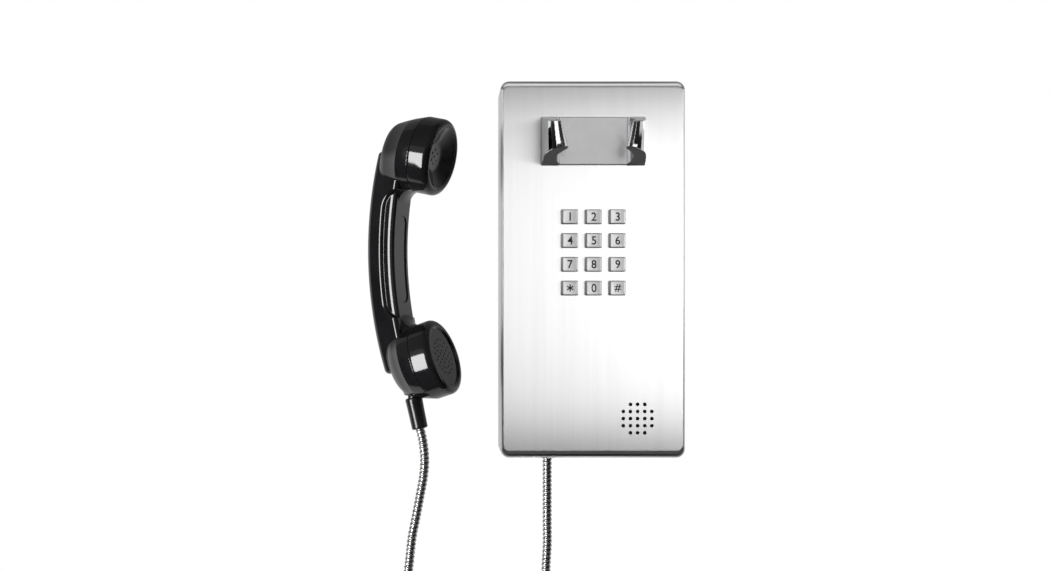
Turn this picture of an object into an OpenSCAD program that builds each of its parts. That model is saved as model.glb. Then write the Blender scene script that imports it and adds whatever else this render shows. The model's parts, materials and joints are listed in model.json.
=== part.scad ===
// Vandal-resistant wall telephone: a folded steel housing with a cast cradle, a metal
// twelve-key keypad and a speaker grille, and a handset on an armoured cord.
// The origin is the centre of the wall bolt pattern, on the wall face of the back plate.
// +X points to the right as a caller sees it, -Y points from the wall to the caller, +Z up.

/* [Housing] */
// Width of the housing
body_w = 148; // [144:1:156]
// Height of the housing
body_h = 302; // [298:1:312]
// Depth of the housing, from the wall to its front face
body_d = 60; // [58:1:64]
// Sheet thickness of the housing
sheet_t = 1.5; // [1.2:0.1:1.6]
// Outer radius of the bent edges and the corners
edge_r = 6; // [4:0.5:8]

/* [Cradle] */
// Width of the cradle at its base
cradle_w = 83; // [80:1:88]
// Height of the cradle at its base
cradle_h = 39; // [36:1:42]
// Height of the cradle's middle above the origin
cradle_z = 102.5; // [95:0.5:108]
// How far the cradle's horns stand out from the housing
cradle_reach = 38; // [34:1:42]
// Gap between the horn tips at their upper ends
tip_gap_top = 58; // [56:1:60]
// Gap between the horn tips at their lower ends
tip_gap_low = 47; // [44:1:50]

/* [Keypad] */
// Distance between neighbouring key centres
key_pitch = 19; // [18.5:0.5:20]
// Width of a key face
key_w = 10.8; // [10:0.2:11.2]
// How much a key widens from its face to the housing, on each side
key_slope_w = 1.2; // [0.6:0.2:1.4]
// Height of a key face
key_h = 11.4; // [10.4:0.2:12]
// How far a key stands out from the housing
key_proud = 3.6; // [3:0.2:4.4]
// Height of the keypad's middle above the origin
keypad_z = 13.5; // [8:0.5:18]

/* [Speaker] */
// Sideways place of the grille's middle
grille_x = 35.6; // [34:0.2:37]
// Height of the grille's middle above the origin
grille_z = -119.4; // [-120:0.2:-114]
// Distance between neighbouring grille holes
grille_pitch = 5.7; // [5.4:0.1:6]
// Diameter of a grille hole
grille_hole_d = 3; // [2.5:0.1:3.4]

/* [Handset] */
// How far the handset faces round towards the caller, in degrees
handset_yaw = 22.8; // [0:0.2:30]
// Outer diameter of both caps
cap_d = 62.2; // [61:0.2:63]
// Width of the grip
grip_w = 32; // [30:1:34]
// Depth of the grip, from its inner face to its back
grip_depth = 24; // [22:1:26]
// Bow radius of the grip's middle line
grip_bow_r = 308; // [290:1:340]

/* [Cord] */
// Outer diameter of the armoured cord
cord_d = 7.6; // [7:0.1:8]
// Number of flat sides of the cord's outline
cord_sides = 10; // [8:1:12]

/* [Wall fixing] */
// Sideways distance between the wall bolt holes
bolt_dx = 100; // [90:1:104]
// Upright distance between the wall bolt holes
bolt_dz = 200; // [180:1:210]
// Diameter of a wall bolt hole
bolt_hole_d = 6.5; // [5.5:0.1:7]

/* [Hidden] */
$fn = 48;
EPS = 0.01;

// Places in the depth of the housing, counted from the wall at zero
front_y = -body_d;
panel_y = front_y + sheet_t;
plate_t = 2;
seal_t = 1.5;
rim_h = 20;
rim_t = 1.5;
plate_w = body_w - 2 * (sheet_t + seal_t);
plate_h = body_h - 2 * (sheet_t + seal_t);

// Security screws enter through the top and bottom walls
screw_x = 50;
screw_y = -14;
screw_r = 2.5;
screw_head_r = 4.7;
screw_head_top_r = 3.2;
screw_head_t = 2.6;
screw_l = 12;
socket_r = 1.7;
weld_nut_t = 4;

// Cradle, on its gasket
cradle_plate_t = 3;
gasket_t = 0.8;
cradle_base_y = front_y - gasket_t;
cradle_screw_x = 24;
cradle_screw_r = 2;
cradle_taper_top = 7.5;
cradle_taper_low = 11;
horn_w = 10;
hollow_r = 10;
reed_r = 1.3;
reed_l = 16;
hook_board_gap = 3;

// Keypad stack, from the panel inwards. A key's stem stops 1.6 behind its flange, on its dome.
key_slot_gap = 0.35;
key_base_w = key_w + 2 * key_slope_w;
key_flange_t = 1.5;
key_flange_over = 1.3;
key_flange_y = panel_y + 0.15;
key_stem_r = 2.5;
frame_w = 66;
frame_h = 88;
frame_y = panel_y + 0.05;
frame_t = 5.4;
mat_y = frame_y + frame_t;
mat_t = 1.5;
dome_top_y = key_flange_y + key_flange_t + 1.6;
dome_r = 4.2;
dome_top_r = 3;
board_t = 1.6;
keypad_board_y = mat_y + mat_t;
backing_y = keypad_board_y + board_t;
backing_t = 1;
keypad_stud_x = 29;
keypad_stud_z = 40;
stud_r = 1.5;
stud_past = 4;
nut_af = 5.5;
nut_t = 2.4;
// The keypad's plug, on the back of its board
plug_x = 18;
plug_z = -25;
plug_t = 5;

// Speaker stack
speaker_r = 25;
speaker_ear_r = 27.5;
speaker_gasket_t = 1.5;
speaker_flange_y = panel_y + speaker_gasket_t;
speaker_flange_t = 1.5;
cone_r = 20.5;
magnet_r = 16;
magnet_t = 8;
cage_depth = 16;
// Grille rows hold three, five, five, five and three holes
GRILLE = [for (row = [-2 : 2], column = [-2 : 2])
    if (abs(row) < 2 || abs(column) < 2) [column * grille_pitch, row * grille_pitch]];

// Main board on its standoffs
main_w = 100;
main_h = 80;
main_z = -30;
standoff_h = 8;
main_y = -plate_t - standoff_h;
main_front_y = main_y - board_t;

// Line cable entry in the back plate
entry_z = 60;
grommet_neck_r = 10.5;
grommet_bore_r = 7;
// Earth stud, low on the back plate
earth_x = 58;
earth_z = -120;

// Cord entry in the bottom wall
gland_x = -35;
gland_y = -30;
gland_bore_r = 4.85;
gland_r = 6.5;
gland_flange_r = 7.4;
gland_flange_t = 1.6;
bush_r = 4.8;
bottom_z = -body_h / 2;

// Handset: local +X is the way the caps face, local +Z runs towards the ear cap.
// It turns on the cord's upright swivel pin.
swivel_x = -144;
swivel_y = -44;
swivel_u = 23;
swivel_pin_r = 4.5;
swivel_bore_r = 4.55;
boot_top_z = -103;
boot_tilt = 12;
boot_l = 26;
boot_low_r = 6.5;
boot_top_r = 6.9;
washer_z = -89;
washer_r = 7;
washer_t = 2;
boss_r = 9;
cap_r = cap_d / 2;
ear_rim = [49, 89.3];
ear_tilt = -12;
mouth_rim = [50.9, -69.1];
mouth_tilt = 17.9;
cap_l = 17.5;
neck_r = 27;
neck_l = 7.5;
thread_gap = 0.05;
ear_ball = [19, 86];
ear_ball_r = 24;
mouth_ball = [25, -74];
mouth_ball_r = 26;
bowl_wall = 4.5;
bowl_rim_r = 30.6;
capsule_r = neck_r - 2.2;
capsule_z = -5.8;
grip_mid_z = 8;

// Route of the armoured cord's middle line, from the housing's gland to the boot
ROUTE = [[-35, -30, -153], [-35, -30, -168], [-35, -30, -186], [-35, -30, -205],
    [-35, -31, -224], [-36, -31, -243], [-36, -32, -262], [-36, -33, -281],
    [-36, -33, -300], [-36, -34, -320], [-36, -35, -341], [-36, -36, -363],
    [-37, -36, -384], [-40, -37, -402], [-49, -37, -418], [-62, -38, -430],
    [-79, -39, -436], [-97, -39, -436], [-114, -40, -430], [-128, -40, -418],
    [-138, -41, -402], [-143, -41, -384], [-145, -42, -365], [-147, -42, -346],
    [-149, -43, -327], [-150, -43, -308], [-150, -43, -289], [-150, -44, -270],
    [-149, -44, -252], [-147, -44, -234], [-145, -44, -216], [-141.7, -44, -199],
    [-138.5, -44, -182], [-136, -44, -168], [-134.9, -44, -154], [-136.1, -44, -140.1],
    [-138.6, -44, -128.4]];

lead_r = 1.5;
// Route of the leads inside the grip
LEAD_ROUTE = [[22, 0, -70], [12, 0, -62], [5, 0, -52], [1.5, 0, -40], [0, 0, -20],
    [0, 0, 5], [0, 0, 30], [2, 0, 50], [6, 0, 64], [13, 0, 76], [18, 0, 84]];
// Routes of the cables inside the housing
CORD_LEAD = [[-35, -30, -137], [-35, -29, -128], [-33, -26, -112], [-30, -22, -98],
    [-28, -19, -86], [-28, -17, -76], [-28, -15, -66]];
KEYPAD_LEAD = [[18, -44.7, -25], [18, -42.8, -25.2], [18, -40, -28], [19, -34, -33], [20, -27, -35],
    [20, -20, -34], [20, -16, -30], [20, -14, -25]];
HOOK_LEAD = [[0, -52, 100], [0, -50, 94], [0, -44, 89], [2, -35, 83], [3, -27, 70], [3, -21, 50],
    [3, -17, 30], [3, -15, 12], [3, -14, 4]];
SPEAKER_LEAD = [[35, -42, -98], [35, -37, -95], [35, -30, -91], [35, -23, -85], [35, -17, -77],
    [35, -14, -66]];

// ---------- shared shapes ----------

module round_rect(w, h, r) {
    square([w - 2 * r, h], center = true);
    square([w, h - 2 * r], center = true);
    for (sx = [-1, 1], sy = [-1, 1]) translate([sx * (w / 2 - r), sy * (h / 2 - r)]) circle(r);
}

// A slab that faces along Y: its outline lies in X and Z, from y0 to y0 + t
module slab(w, h, r, y0, t) {
    translate([0, y0 + t, 0]) rotate([90, 0, 0]) linear_extrude(t) round_rect(w, h, r);
}

// A round rod along Y
module rod_y(r, y0, l) {
    translate([0, y0 + l, 0]) rotate([90, 0, 0]) cylinder(r = r, h = l);
}

// A hexagonal nut along Y
module nut_y(af, bore_r, y0, t) {
    translate([0, y0 + t, 0]) rotate([90, 0, 0]) difference() {
        cylinder(r = af / 2 / cos(30), h = t, $fn = 6);
        translate([0, 0, -EPS]) cylinder(r = bore_r, h = t + 2 * EPS);
    }
}

module at_corners(dx, dz) {
    for (sx = [-1, 1], sz = [-1, 1]) translate([sx * dx, 0, sz * dz]) children();
}

// A box open to the wall, with bent front edges: three rounded outlines cut from each other
module bent_box(w, h, d, r) {
    intersection() {
        slab(w, h, r, -d, d);
        translate([0, 0, -h / 2]) linear_extrude(h) side_outline(w, d, r);
        translate([-w / 2, 0, 0]) rotate([90, 0, 90]) linear_extrude(w) rotate(-90) side_outline(h, d, r);
    }
}

// Outline of a depth section: square at the wall, rounded at the front
module side_outline(w, d, r) {
    translate([-w / 2, -d + r]) square([w, d - r]);
    translate([-w / 2 + r, -d]) square([w - 2 * r, d - r]);
    for (sx = [-1, 1]) translate([sx * (w / 2 - r), -d + r]) circle(r);
}

function unit(v) = v / norm(v);
function heading(p, i) =
    unit(p[min(i + 1, len(p) - 1)] - p[max(i - 1, 0)]);
function ring(p, i, r, n, side) =
    let (t = heading(p, i), a = unit(cross(side, t)), b = cross(t, a))
    [for (k = [0 : n - 1]) p[i] + r * (a * cos(360 * k / n) + b * sin(360 * k / n))];

// A closed tube of n flat sides swept along the points p, which never run along side
module swept_tube(p, r, n, side = [0, 1, 0]) {
    points = [for (i = [0 : len(p) - 1]) each ring(p, i, r, n, side)];
    sides = [for (i = [0 : len(p) - 2], k = [0 : n - 1])
        [i * n + k, i * n + (k + 1) % n, (i + 1) * n + (k + 1) % n, (i + 1) * n + k]];
    first = [for (k = [n - 1 : -1 : 0]) k];
    last = [for (k = [0 : n - 1]) (len(p) - 1) * n + k];
    polyhedron(points, concat(sides, [first], [last]));
}

// ---------- housing ----------

function key_x(column) = (column - 1) * key_pitch;
function key_z(row) = keypad_z + (1.5 - row) * key_pitch;

module housing() {
    color("silver") difference() {
        bent_box(body_w, body_h, body_d, edge_r);
        translate([0, EPS, 0])
            bent_box(body_w - 2 * sheet_t, body_h - 2 * sheet_t, body_d - sheet_t + EPS, edge_r - sheet_t);
        for (column = [0 : 2], row = [0 : 3])
            translate([key_x(column), 0, key_z(row)])
                slab(key_base_w + 2 * key_slot_gap, key_h + 2 * key_slot_gap, 1, front_y - 1, 4);
        for (hole = GRILLE)
            translate([grille_x + hole[0], 0, grille_z + hole[1]]) rod_y(grille_hole_d / 2, front_y - 1, 4);
        for (sx = [-1, 1])
            translate([sx * cradle_screw_x, 0, cradle_z]) rod_y(cradle_screw_r + 0.3, front_y - 1, 4);
        translate([gland_x, gland_y, bottom_z - 1]) cylinder(r = gland_r, h = 4);
        for (sx = [-1, 1])
            translate([sx * screw_x, screw_y, -body_h / 2 - 1]) cylinder(r = screw_r + 0.2, h = body_h + 2);
    }
}

module back_plate() {
    color("gray") difference() {
        slab(plate_w, plate_h, edge_r - sheet_t, -rim_h, rim_h);
        slab(plate_w - 2 * rim_t, plate_h - 2 * rim_t, edge_r - sheet_t - rim_t,
            -rim_h - 1, rim_h + 1 - plate_t);
        at_corners(bolt_dx / 2, bolt_dz / 2) rod_y(bolt_hole_d / 2, -5, 6);
        translate([0, 0, entry_z]) rod_y(grommet_neck_r, -5, 6);
        for (sx = [-1, 1])
            translate([sx * screw_x, screw_y, -body_h / 2]) cylinder(r = screw_r + 0.2, h = body_h);
    }
}

module housing_seal() {
    color("dimgray") difference() {
        slab(plate_w + 2 * seal_t, plate_h + 2 * seal_t, edge_r - sheet_t, -8, 5);
        slab(plate_w, plate_h, edge_r - sheet_t, -9, 7);
    }
}

// Button-head screws, two in the top wall and two in the bottom wall
module security_screws() {
    color("silver") for (sx = [-1, 1], sz = [-1, 1])
        translate([sx * screw_x, screw_y, sz * body_h / 2]) mirror([0, 0, sz > 0 ? 0 : 1]) security_screw();
}

module security_screw() {
    difference() {
        union() {
            cylinder(r1 = screw_head_r, r2 = screw_head_top_r, h = screw_head_t);
            translate([0, 0, -screw_l]) cylinder(r = screw_r, h = screw_l + EPS);
        }
        translate([0, 0, 1]) cylinder(r = socket_r, h = screw_head_t, $fn = 6);
    }
}

// Weld nuts on the inner side of the back plate's rim
module security_nuts() {
    z_in = plate_h / 2 - rim_t;
    color("gray") for (sx = [-1, 1], sz = [-1, 1])
        translate([sx * screw_x, screw_y, sz * z_in]) mirror([0, 0, sz > 0 ? 1 : 0]) difference() {
            cylinder(r = 4.6, h = weld_nut_t, $fn = 6);
            translate([0, 0, -EPS]) cylinder(r = screw_r + 0.05, h = weld_nut_t + 1);
        }
}

// ---------- cradle ----------

// Plan of the left horn, in X and depth: straight outer side, curled tip, hollow inner side
module horn_plan() {
    w = cradle_w / 2;
    tip = tip_gap_low / 2;
    difference() {
        union() {
            translate([-w, 0]) square([w - tip, cradle_reach - horn_w]);
            translate([-w + horn_w, 0]) square([w - tip - horn_w, cradle_reach]);
            translate([-w + horn_w, cradle_reach - horn_w]) circle(horn_w);
        }
        translate([-tip + 3, cradle_reach * 0.53]) circle(hollow_r);
        translate([-tip - 2, -1]) square([2 * hollow_r, cradle_reach * 0.5 + 1]);
    }
}

module cradle() {
    color("lightgray") translate([0, cradle_base_y, cradle_z]) difference() {
        union() {
            intersection() {
                for (side = [0, 1]) mirror([side, 0, 0])
                    translate([0, 0, -cradle_h / 2]) linear_extrude(cradle_h) mirror([0, 1]) horn_plan();
                horn_side_outline();
            }
            slab(cradle_w - 8, cradle_h - 1, 2, -cradle_plate_t, cradle_plate_t);
        }
        tip_bevel();
        for (sx = [-1, 1]) translate([sx * cradle_screw_x, 0, 0]) rod_y(cradle_screw_r + 0.05, -2, 3);
    }
}

// The horns taper towards their tips, more from below than from above
module horn_side_outline() {
    top = cradle_h / 2;
    translate([-cradle_w, 0, 0]) rotate([90, 0, 90]) linear_extrude(2 * cradle_w)
        polygon([[1, -top], [0, -top], [-cradle_reach - 1, -top + cradle_taper_low],
            [-cradle_reach - 1, top - cradle_taper_top], [0, top], [1, top]]);
}

// The gap between the tips narrows downwards
module tip_bevel() {
    top = cradle_h / 2 + 1;
    translate([0, -cradle_plate_t, 0]) rotate([90, 0, 0]) linear_extrude(cradle_reach)
        polygon([[-tip_gap_low / 2, -top], [tip_gap_low / 2, -top], [tip_gap_top / 2, top],
            [-tip_gap_top / 2, top]]);
}

module cradle_gasket() {
    color("dimgray") difference() {
        translate([0, 0, cradle_z]) slab(cradle_w - 2, cradle_h - 2, 2, cradle_base_y, gasket_t);
        for (sx = [-1, 1])
            translate([sx * cradle_screw_x, 0, cradle_z]) rod_y(cradle_screw_r + 0.3, front_y - 2, 4);
    }
}

// Two screws that hold the cradle from inside the housing
module cradle_screws() {
    color("gray") for (sx = [-1, 1]) translate([sx * cradle_screw_x, 0, cradle_z]) {
        rod_y(cradle_screw_r, cradle_base_y - 2, gasket_t + sheet_t + 2 + EPS);
        rod_y(3.8, panel_y, 2.4);
    }
}

module hook_board() {
    color("darkgreen") translate([0, 0, cradle_z]) difference() {
        slab(34, 14, 1, panel_y + hook_board_gap, board_t);
        translate([0, 0, -5]) rod_y(1, panel_y, 9);
    }
    color("gray") for (sx = [-1, 1]) translate([sx * 13, 0, cradle_z]) rod_y(2, panel_y, hook_board_gap);
}

module reed_switch() {
    color("lightcyan") translate([-reed_l / 2, panel_y + 1.6, cradle_z]) rotate([0, 90, 0])
        cylinder(r = reed_r, h = reed_l);
}

// ---------- keypad ----------

// A key's sides slope out to the housing on the left and the right, and run straight behind it
module key_plan() {
    face_y = front_y - key_proud;
    polygon([[-key_w / 2, face_y], [key_w / 2, face_y], [key_base_w / 2, front_y - 0.6],
        [key_base_w / 2, key_flange_y + EPS], [-key_base_w / 2, key_flange_y + EPS],
        [-key_base_w / 2, front_y - 0.6]]);
}

module key(column, row) {
    color("whitesmoke") translate([key_x(column), 0, key_z(row)]) {
        intersection() {
            translate([0, 0, -key_h / 2]) linear_extrude(key_h) key_plan();
            slab(key_base_w, key_h, 0.8, front_y - key_proud - 1, key_proud + 3);
        }
        slab(key_base_w + 2 * key_flange_over, key_h + 2 * key_flange_over, 1, key_flange_y, key_flange_t);
        rod_y(key_stem_r, key_flange_y + key_flange_t - EPS, dome_top_y - key_flange_y - key_flange_t + EPS);
    }
}

module at_keys() {
    for (column = [0 : 2], row = [0 : 3]) translate([key_x(column), 0, key_z(row)]) children();
}

module keypad_frame() {
    color("gray") difference() {
        translate([0, 0, keypad_z]) slab(frame_w, frame_h, 3, frame_y, frame_t);
        at_keys() slab(key_base_w + 2 * key_flange_over + 0.5, key_h + 2 * key_flange_over + 0.5, 1,
            frame_y - 1, frame_t + 2);
        keypad_stud_holes();
    }
}

module keypad_stud_holes() {
    translate([0, 0, keypad_z]) at_corners(keypad_stud_x, keypad_stud_z) rod_y(stud_r + 0.2, frame_y - 2, 20);
}

// Silicone mat with one dome under each key
module dome_mat() {
    color("lightgray") {
        difference() {
            translate([0, 0, keypad_z]) slab(frame_w - 2, frame_h - 2, 3, mat_y, mat_t);
            keypad_stud_holes();
        }
        at_keys() translate([0, mat_y + EPS, 0]) rotate([90, 0, 0])
            cylinder(r1 = dome_r, r2 = dome_top_r, h = mat_y - dome_top_y + EPS);
    }
}

module keypad_board() {
    color("darkgreen") difference() {
        translate([0, 0, keypad_z]) slab(frame_w - 2, frame_h - 2, 2, keypad_board_y, board_t);
        keypad_stud_holes();
    }
    color("ivory") translate([plug_x, 0, plug_z]) slab(12, 5, 0.5, backing_y, plug_t);
}

module keypad_backing() {
    color("gray") difference() {
        translate([0, 0, keypad_z]) slab(frame_w, frame_h, 3, backing_y, backing_t);
        keypad_stud_holes();
        translate([plug_x, 0, plug_z]) slab(14, 7, 0.5, backing_y - 1, 4);
    }
}

// Studs welded to the back of the panel: four for the keypad and four for the speaker
module panel_studs() {
    color("silver") {
        translate([0, 0, keypad_z]) at_corners(keypad_stud_x, keypad_stud_z)
            rod_y(stud_r, panel_y, backing_y + backing_t + stud_past - panel_y);
        at_speaker_ears() rod_y(stud_r, panel_y, speaker_flange_y + speaker_flange_t + stud_past - panel_y);
    }
}

module panel_nuts() {
    color("silver") {
        translate([0, 0, keypad_z]) at_corners(keypad_stud_x, keypad_stud_z)
            nut_y(nut_af, stud_r, backing_y + backing_t, nut_t);
        at_speaker_ears() nut_y(nut_af, stud_r, speaker_flange_y + speaker_flange_t, nut_t);
    }
}

// ---------- speaker ----------

module at_speaker() {
    translate([grille_x, 0, grille_z]) children();
}

module at_speaker_ears() {
    ear = speaker_ear_r * sin(45);
    at_speaker() at_corners(ear, ear) children();
}

module speaker_screen() {
    color("black") at_speaker() rod_y(17, panel_y, 0.6);
}

module speaker_gasket() {
    color("dimgray") at_speaker() difference() {
        rod_y(speaker_r, panel_y, speaker_gasket_t);
        rod_y(18, panel_y - 1, 4);
    }
}

// A pressed frame: a flange with four ears, and a tapered cage down to the magnet
module speaker_basket() {
    color("gray") difference() {
        union() {
            at_speaker() rod_y(speaker_r, speaker_flange_y, speaker_flange_t);
            at_speaker_ears() rod_y(4, speaker_flange_y, speaker_flange_t);
            at_speaker() speaker_revolve()
                polygon([[21, 1.5], [24, 1.5], [14, 14], [14, cage_depth], [12, cage_depth], [12, 14]]);
        }
        at_speaker_ears() rod_y(stud_r + 0.2, speaker_flange_y - 1, 5);
        at_speaker() rod_y(21, speaker_flange_y - 1, 3);
    }
}

// Turns a profile of radius and depth behind the flange's front face about the speaker's axis
module speaker_revolve() {
    translate([0, speaker_flange_y, 0]) rotate([-90, 0, 0]) rotate_extrude() children();
}

module speaker_cone() {
    color("black") at_speaker() speaker_revolve()
        polygon([[0, 8], [6, 9], [cone_r, 0.6], [cone_r, 1.4], [6.4, 10], [0, 9]]);
}

module speaker_magnet() {
    color("dimgray") at_speaker() rod_y(magnet_r, speaker_flange_y + cage_depth, magnet_t);
}

// ---------- main board and wall fittings ----------

module at_board_corners() {
    translate([0, 0, main_z]) at_corners(main_w / 2 - 5, main_h / 2 - 5) children();
}

module main_board() {
    color("darkgreen") difference() {
        translate([0, 0, main_z]) slab(main_w, main_h, 2, main_front_y, board_t);
        at_board_corners() rod_y(1.7, main_y - 4, 6);
    }
}

module board_standoffs() {
    color("silver") at_board_corners() difference() {
        translate([0, main_y + standoff_h, 0]) rotate([90, 0, 0]) cylinder(r = 3.5, h = standoff_h, $fn = 6);
        rod_y(1.5, main_y - 1, standoff_h - 1);
    }
}

module board_screws() {
    color("silver") at_board_corners() {
        rod_y(1.5, main_front_y - EPS, 5);
        rod_y(2.8, main_front_y - 2, 2);
    }
}

module line_transformer() {
    color("darkslategray") translate([-28, 0, -14]) slab(24, 20, 2, main_front_y - 17, 17);
}

module terminal_block() {
    color("seagreen") translate([22, 0, -6]) difference() {
        slab(40, 10, 0.5, main_front_y - 12, 12);
        for (i = [-2 : 2]) translate([i * 7.5, 0, 0]) rod_y(2, main_front_y - 13, 5);
    }
}

// The larger parts on the board: a processor, two surge arrestors, two capacitors and a relay
module board_parts() {
    color("black") translate([2, 0, -36]) slab(18, 18, 1, main_front_y - 2.5, 2.5);
    color("orange") for (i = [0, 1]) translate([32 + 9 * i, 0, -26]) rod_y(3.5, main_front_y - 5, 5);
    color("midnightblue") for (i = [0, 1]) translate([-40 + 14 * i, 0, -40]) rod_y(5, main_front_y - 12, 12);
    color("white") translate([24, 0, -44]) slab(20, 10, 1, main_front_y - 11, 11);
}

module earth_stud() {
    color("silver") translate([earth_x, 0, earth_z]) rod_y(2.5, -18, 18 - plate_t);
}

module earth_nut() {
    color("silver") translate([earth_x, 0, earth_z]) nut_y(8, 2.5, -9, 4);
}

// Rubber grommet for the line cable, held in the back plate
module line_grommet() {
    color("black") translate([0, 0, entry_z]) difference() {
        union() {
            rod_y(grommet_neck_r, -4, 4);
            rod_y(grommet_neck_r + 2.5, -5, 5 - plate_t);
        }
        rod_y(grommet_bore_r, -6, 7);
    }
}

// ---------- cord entry and cord ----------

module gland_at(z) {
    translate([gland_x, gland_y, z]) children();
}

module cord_gland() {
    color("silver") difference() {
        union() {
            gland_at(bottom_z - gland_flange_t) cylinder(r = gland_flange_r, h = gland_flange_t);
            gland_at(bottom_z - EPS) cylinder(r = gland_r - 0.1, h = 9);
        }
        gland_at(bottom_z - gland_flange_t - 1) cylinder(r = gland_bore_r, h = 14);
    }
}

module gland_nut() {
    color("gray") difference() {
        gland_at(bottom_z + sheet_t) cylinder(r = 9.5, h = 4, $fn = 6);
        gland_at(bottom_z) cylinder(r = gland_r, h = 8);
    }
}

// Steel bush crimped on the cord: it turns in the gland, and its collar holds the pull
module cord_bush() {
    color("dimgray") {
        gland_at(bottom_z - 2) cylinder(r = bush_r, h = 12);
        gland_at(bottom_z + 9.2) cylinder(r = gland_r, h = 4);
    }
}

module cord() {
    color("gray") swept_tube(ROUTE, cord_d / 2, cord_sides);
}

// Rubber strain relief with the swivel pin and its washer, at the handset's end of the cord
module boot() {
    color("black") translate([swivel_x, swivel_y, 0]) {
        translate([0, 0, boot_top_z]) rotate([0, -boot_tilt, 0]) translate([0, 0, -boot_l]) rotate_extrude()
            polygon([[0, 0], [boot_low_r - 1, 0], [boot_low_r, 1], [boot_top_r, boot_l - 2],
                [boot_top_r - 1.4, boot_l], [0, boot_l]]);
        translate([0, 0, boot_top_z - 8]) cylinder(r = swivel_pin_r, h = washer_z - boot_top_z + 8 + EPS);
        translate([0, 0, washer_z]) cylinder(r = washer_r, h = washer_t);
    }
}

// ---------- handset ----------

module in_handset() {
    translate([swivel_x, swivel_y, 0]) rotate([0, 0, -handset_yaw]) translate([-swivel_u, 0, 0]) children();
}

// Stands a child whose axis is local +Z on a cap's seam, facing the way the cap faces
module on_seam(rim, tilt) {
    translate([rim[0], 0, rim[1]]) rotate([0, 90 - tilt, 0]) translate([0, 0, -cap_l]) children();
}

// A closed form blended from a disc behind a cap's seam to a ball nearer the grip
module bowl_form(rim, tilt, disc_r, ball, ball_r) {
    hull() {
        on_seam(rim, tilt) translate([0, 0, -3]) cylinder(r = disc_r, h = 4, $fn = 40);
        translate([ball[0], 0, ball[1]]) sphere(r = ball_r, $fn = 28);
    }
}

// The outer form stops at the seam, and only the threaded neck reaches past it
module bowl(rim, tilt, ball, ball_r) {
    intersection() {
        bowl_form(rim, tilt, bowl_rim_r, ball, ball_r);
        on_seam(rim, tilt) translate([-50, -50, -90]) cube([100, 100, 90]);
    }
    on_seam(rim, tilt) translate([0, 0, -1]) cylinder(r = neck_r, h = neck_l + 1);
}

module bowl_hollow(rim, tilt, ball, ball_r) {
    bowl_form(rim, tilt, bowl_rim_r - bowl_wall, ball, ball_r - bowl_wall);
    on_seam(rim, tilt) translate([0, 0, -6]) cylinder(r = neck_r - 2, h = neck_l + 7);
}

// A bowed bar between two heights: its side outline is a strip between two arcs
module bowed_bar(depth, width, z_low, z_high) {
    translate([0, width / 2, 0]) rotate([90, 0, 0]) linear_extrude(width) intersection() {
        translate([grip_bow_r, grip_mid_z]) difference() {
            circle(r = grip_bow_r + depth / 2, $fn = 360);
            circle(r = grip_bow_r - depth / 2, $fn = 360);
        }
        translate([-depth, z_low]) square([2.5 * depth, z_high - z_low]);
    }
}

module handset_body() {
    color("black") in_handset() difference() {
        union() {
            bowed_bar(grip_depth, grip_w, mouth_ball[1] - 8, ear_ball[1] + 2);
            bowl(ear_rim, ear_tilt, ear_ball, ear_ball_r);
            bowl(mouth_rim, mouth_tilt, mouth_ball, mouth_ball_r);
        }
        bowl_hollow(ear_rim, ear_tilt, ear_ball, ear_ball_r);
        difference() {
            bowl_hollow(mouth_rim, mouth_tilt, mouth_ball, mouth_ball_r);
            translate([swivel_u, 0, washer_z - 20]) cylinder(r = boss_r, h = 19.9);
        }
        bowed_bar(grip_depth - 10, grip_w - 12, mouth_ball[1] + 8, ear_ball[1]);
        translate([swivel_u, 0, -120]) cylinder(r = swivel_bore_r, h = 40);
    }
}

// Screw cap: a skirt over the body's neck and a rolled rim, less the face's own profile
module cap_shell() {
    rotate_extrude() difference() {
        union() {
            square([cap_r, cap_l - 5]);
            square([cap_r - 5, cap_l]);
            translate([cap_r - 5, cap_l - 5]) circle(5);
        }
        translate([-EPS, -EPS]) square([neck_r + thread_gap + EPS, neck_l + EPS]);
        children();
    }
}

// Deep conical dish around the listening holes
module ear_cap() {
    color("black") in_handset() on_seam(ear_rim, ear_tilt) difference() {
        cap_shell() polygon([[-1, cap_l - 7.8], [11.3, cap_l - 7.8], [24, cap_l - 0.6], [25.5, cap_l + 1],
            [-1, cap_l + 1]]);
        cylinder(r = 1, h = cap_l);
        for (i = [0 : 5]) rotate(60 * i) translate([5.6, 0, 0]) cylinder(r = 1, h = cap_l);
    }
}

// Shallow face with rings of small holes
module mouth_cap() {
    color("black") in_handset() on_seam(mouth_rim, mouth_tilt) difference() {
        cap_shell() {
            translate([-1, cap_l - 1.6]) square([25, 4]);
            translate([-1, 0]) square([20, cap_l - 4]);
        }
        for (turn = [1 : 3], i = [0 : 6 * turn - 1])
            rotate(60 * i / turn) translate([4.8 * turn, 0, 0]) cylinder(r = 0.9, h = cap_l + 1);
        cylinder(r = 0.9, h = cap_l + 1);
    }
}

module receiver() {
    color("gray") in_handset() on_seam(ear_rim, ear_tilt) {
        translate([0, 0, capsule_z]) cylinder(r = capsule_r, h = 9);
        translate([0, 0, 3.1]) cylinder(r = 14, h = 2.5);
    }
}

module receiver_seal() {
    color("dimgray") in_handset() on_seam(ear_rim, ear_tilt) translate([0, 0, 3.25]) difference() {
        cylinder(r = capsule_r, h = 2.5);
        translate([0, 0, -1]) cylinder(r = 20, h = 5);
    }
}

// Ring magnet that works the reed switch when the handset is hung up
module hook_magnet() {
    color("silver") in_handset() on_seam(ear_rim, ear_tilt) translate([0, 0, 3.25]) difference() {
        cylinder(r = 18.5, h = 3);
        translate([0, 0, -1]) cylinder(r = 14.2, h = 5);
    }
}

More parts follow.
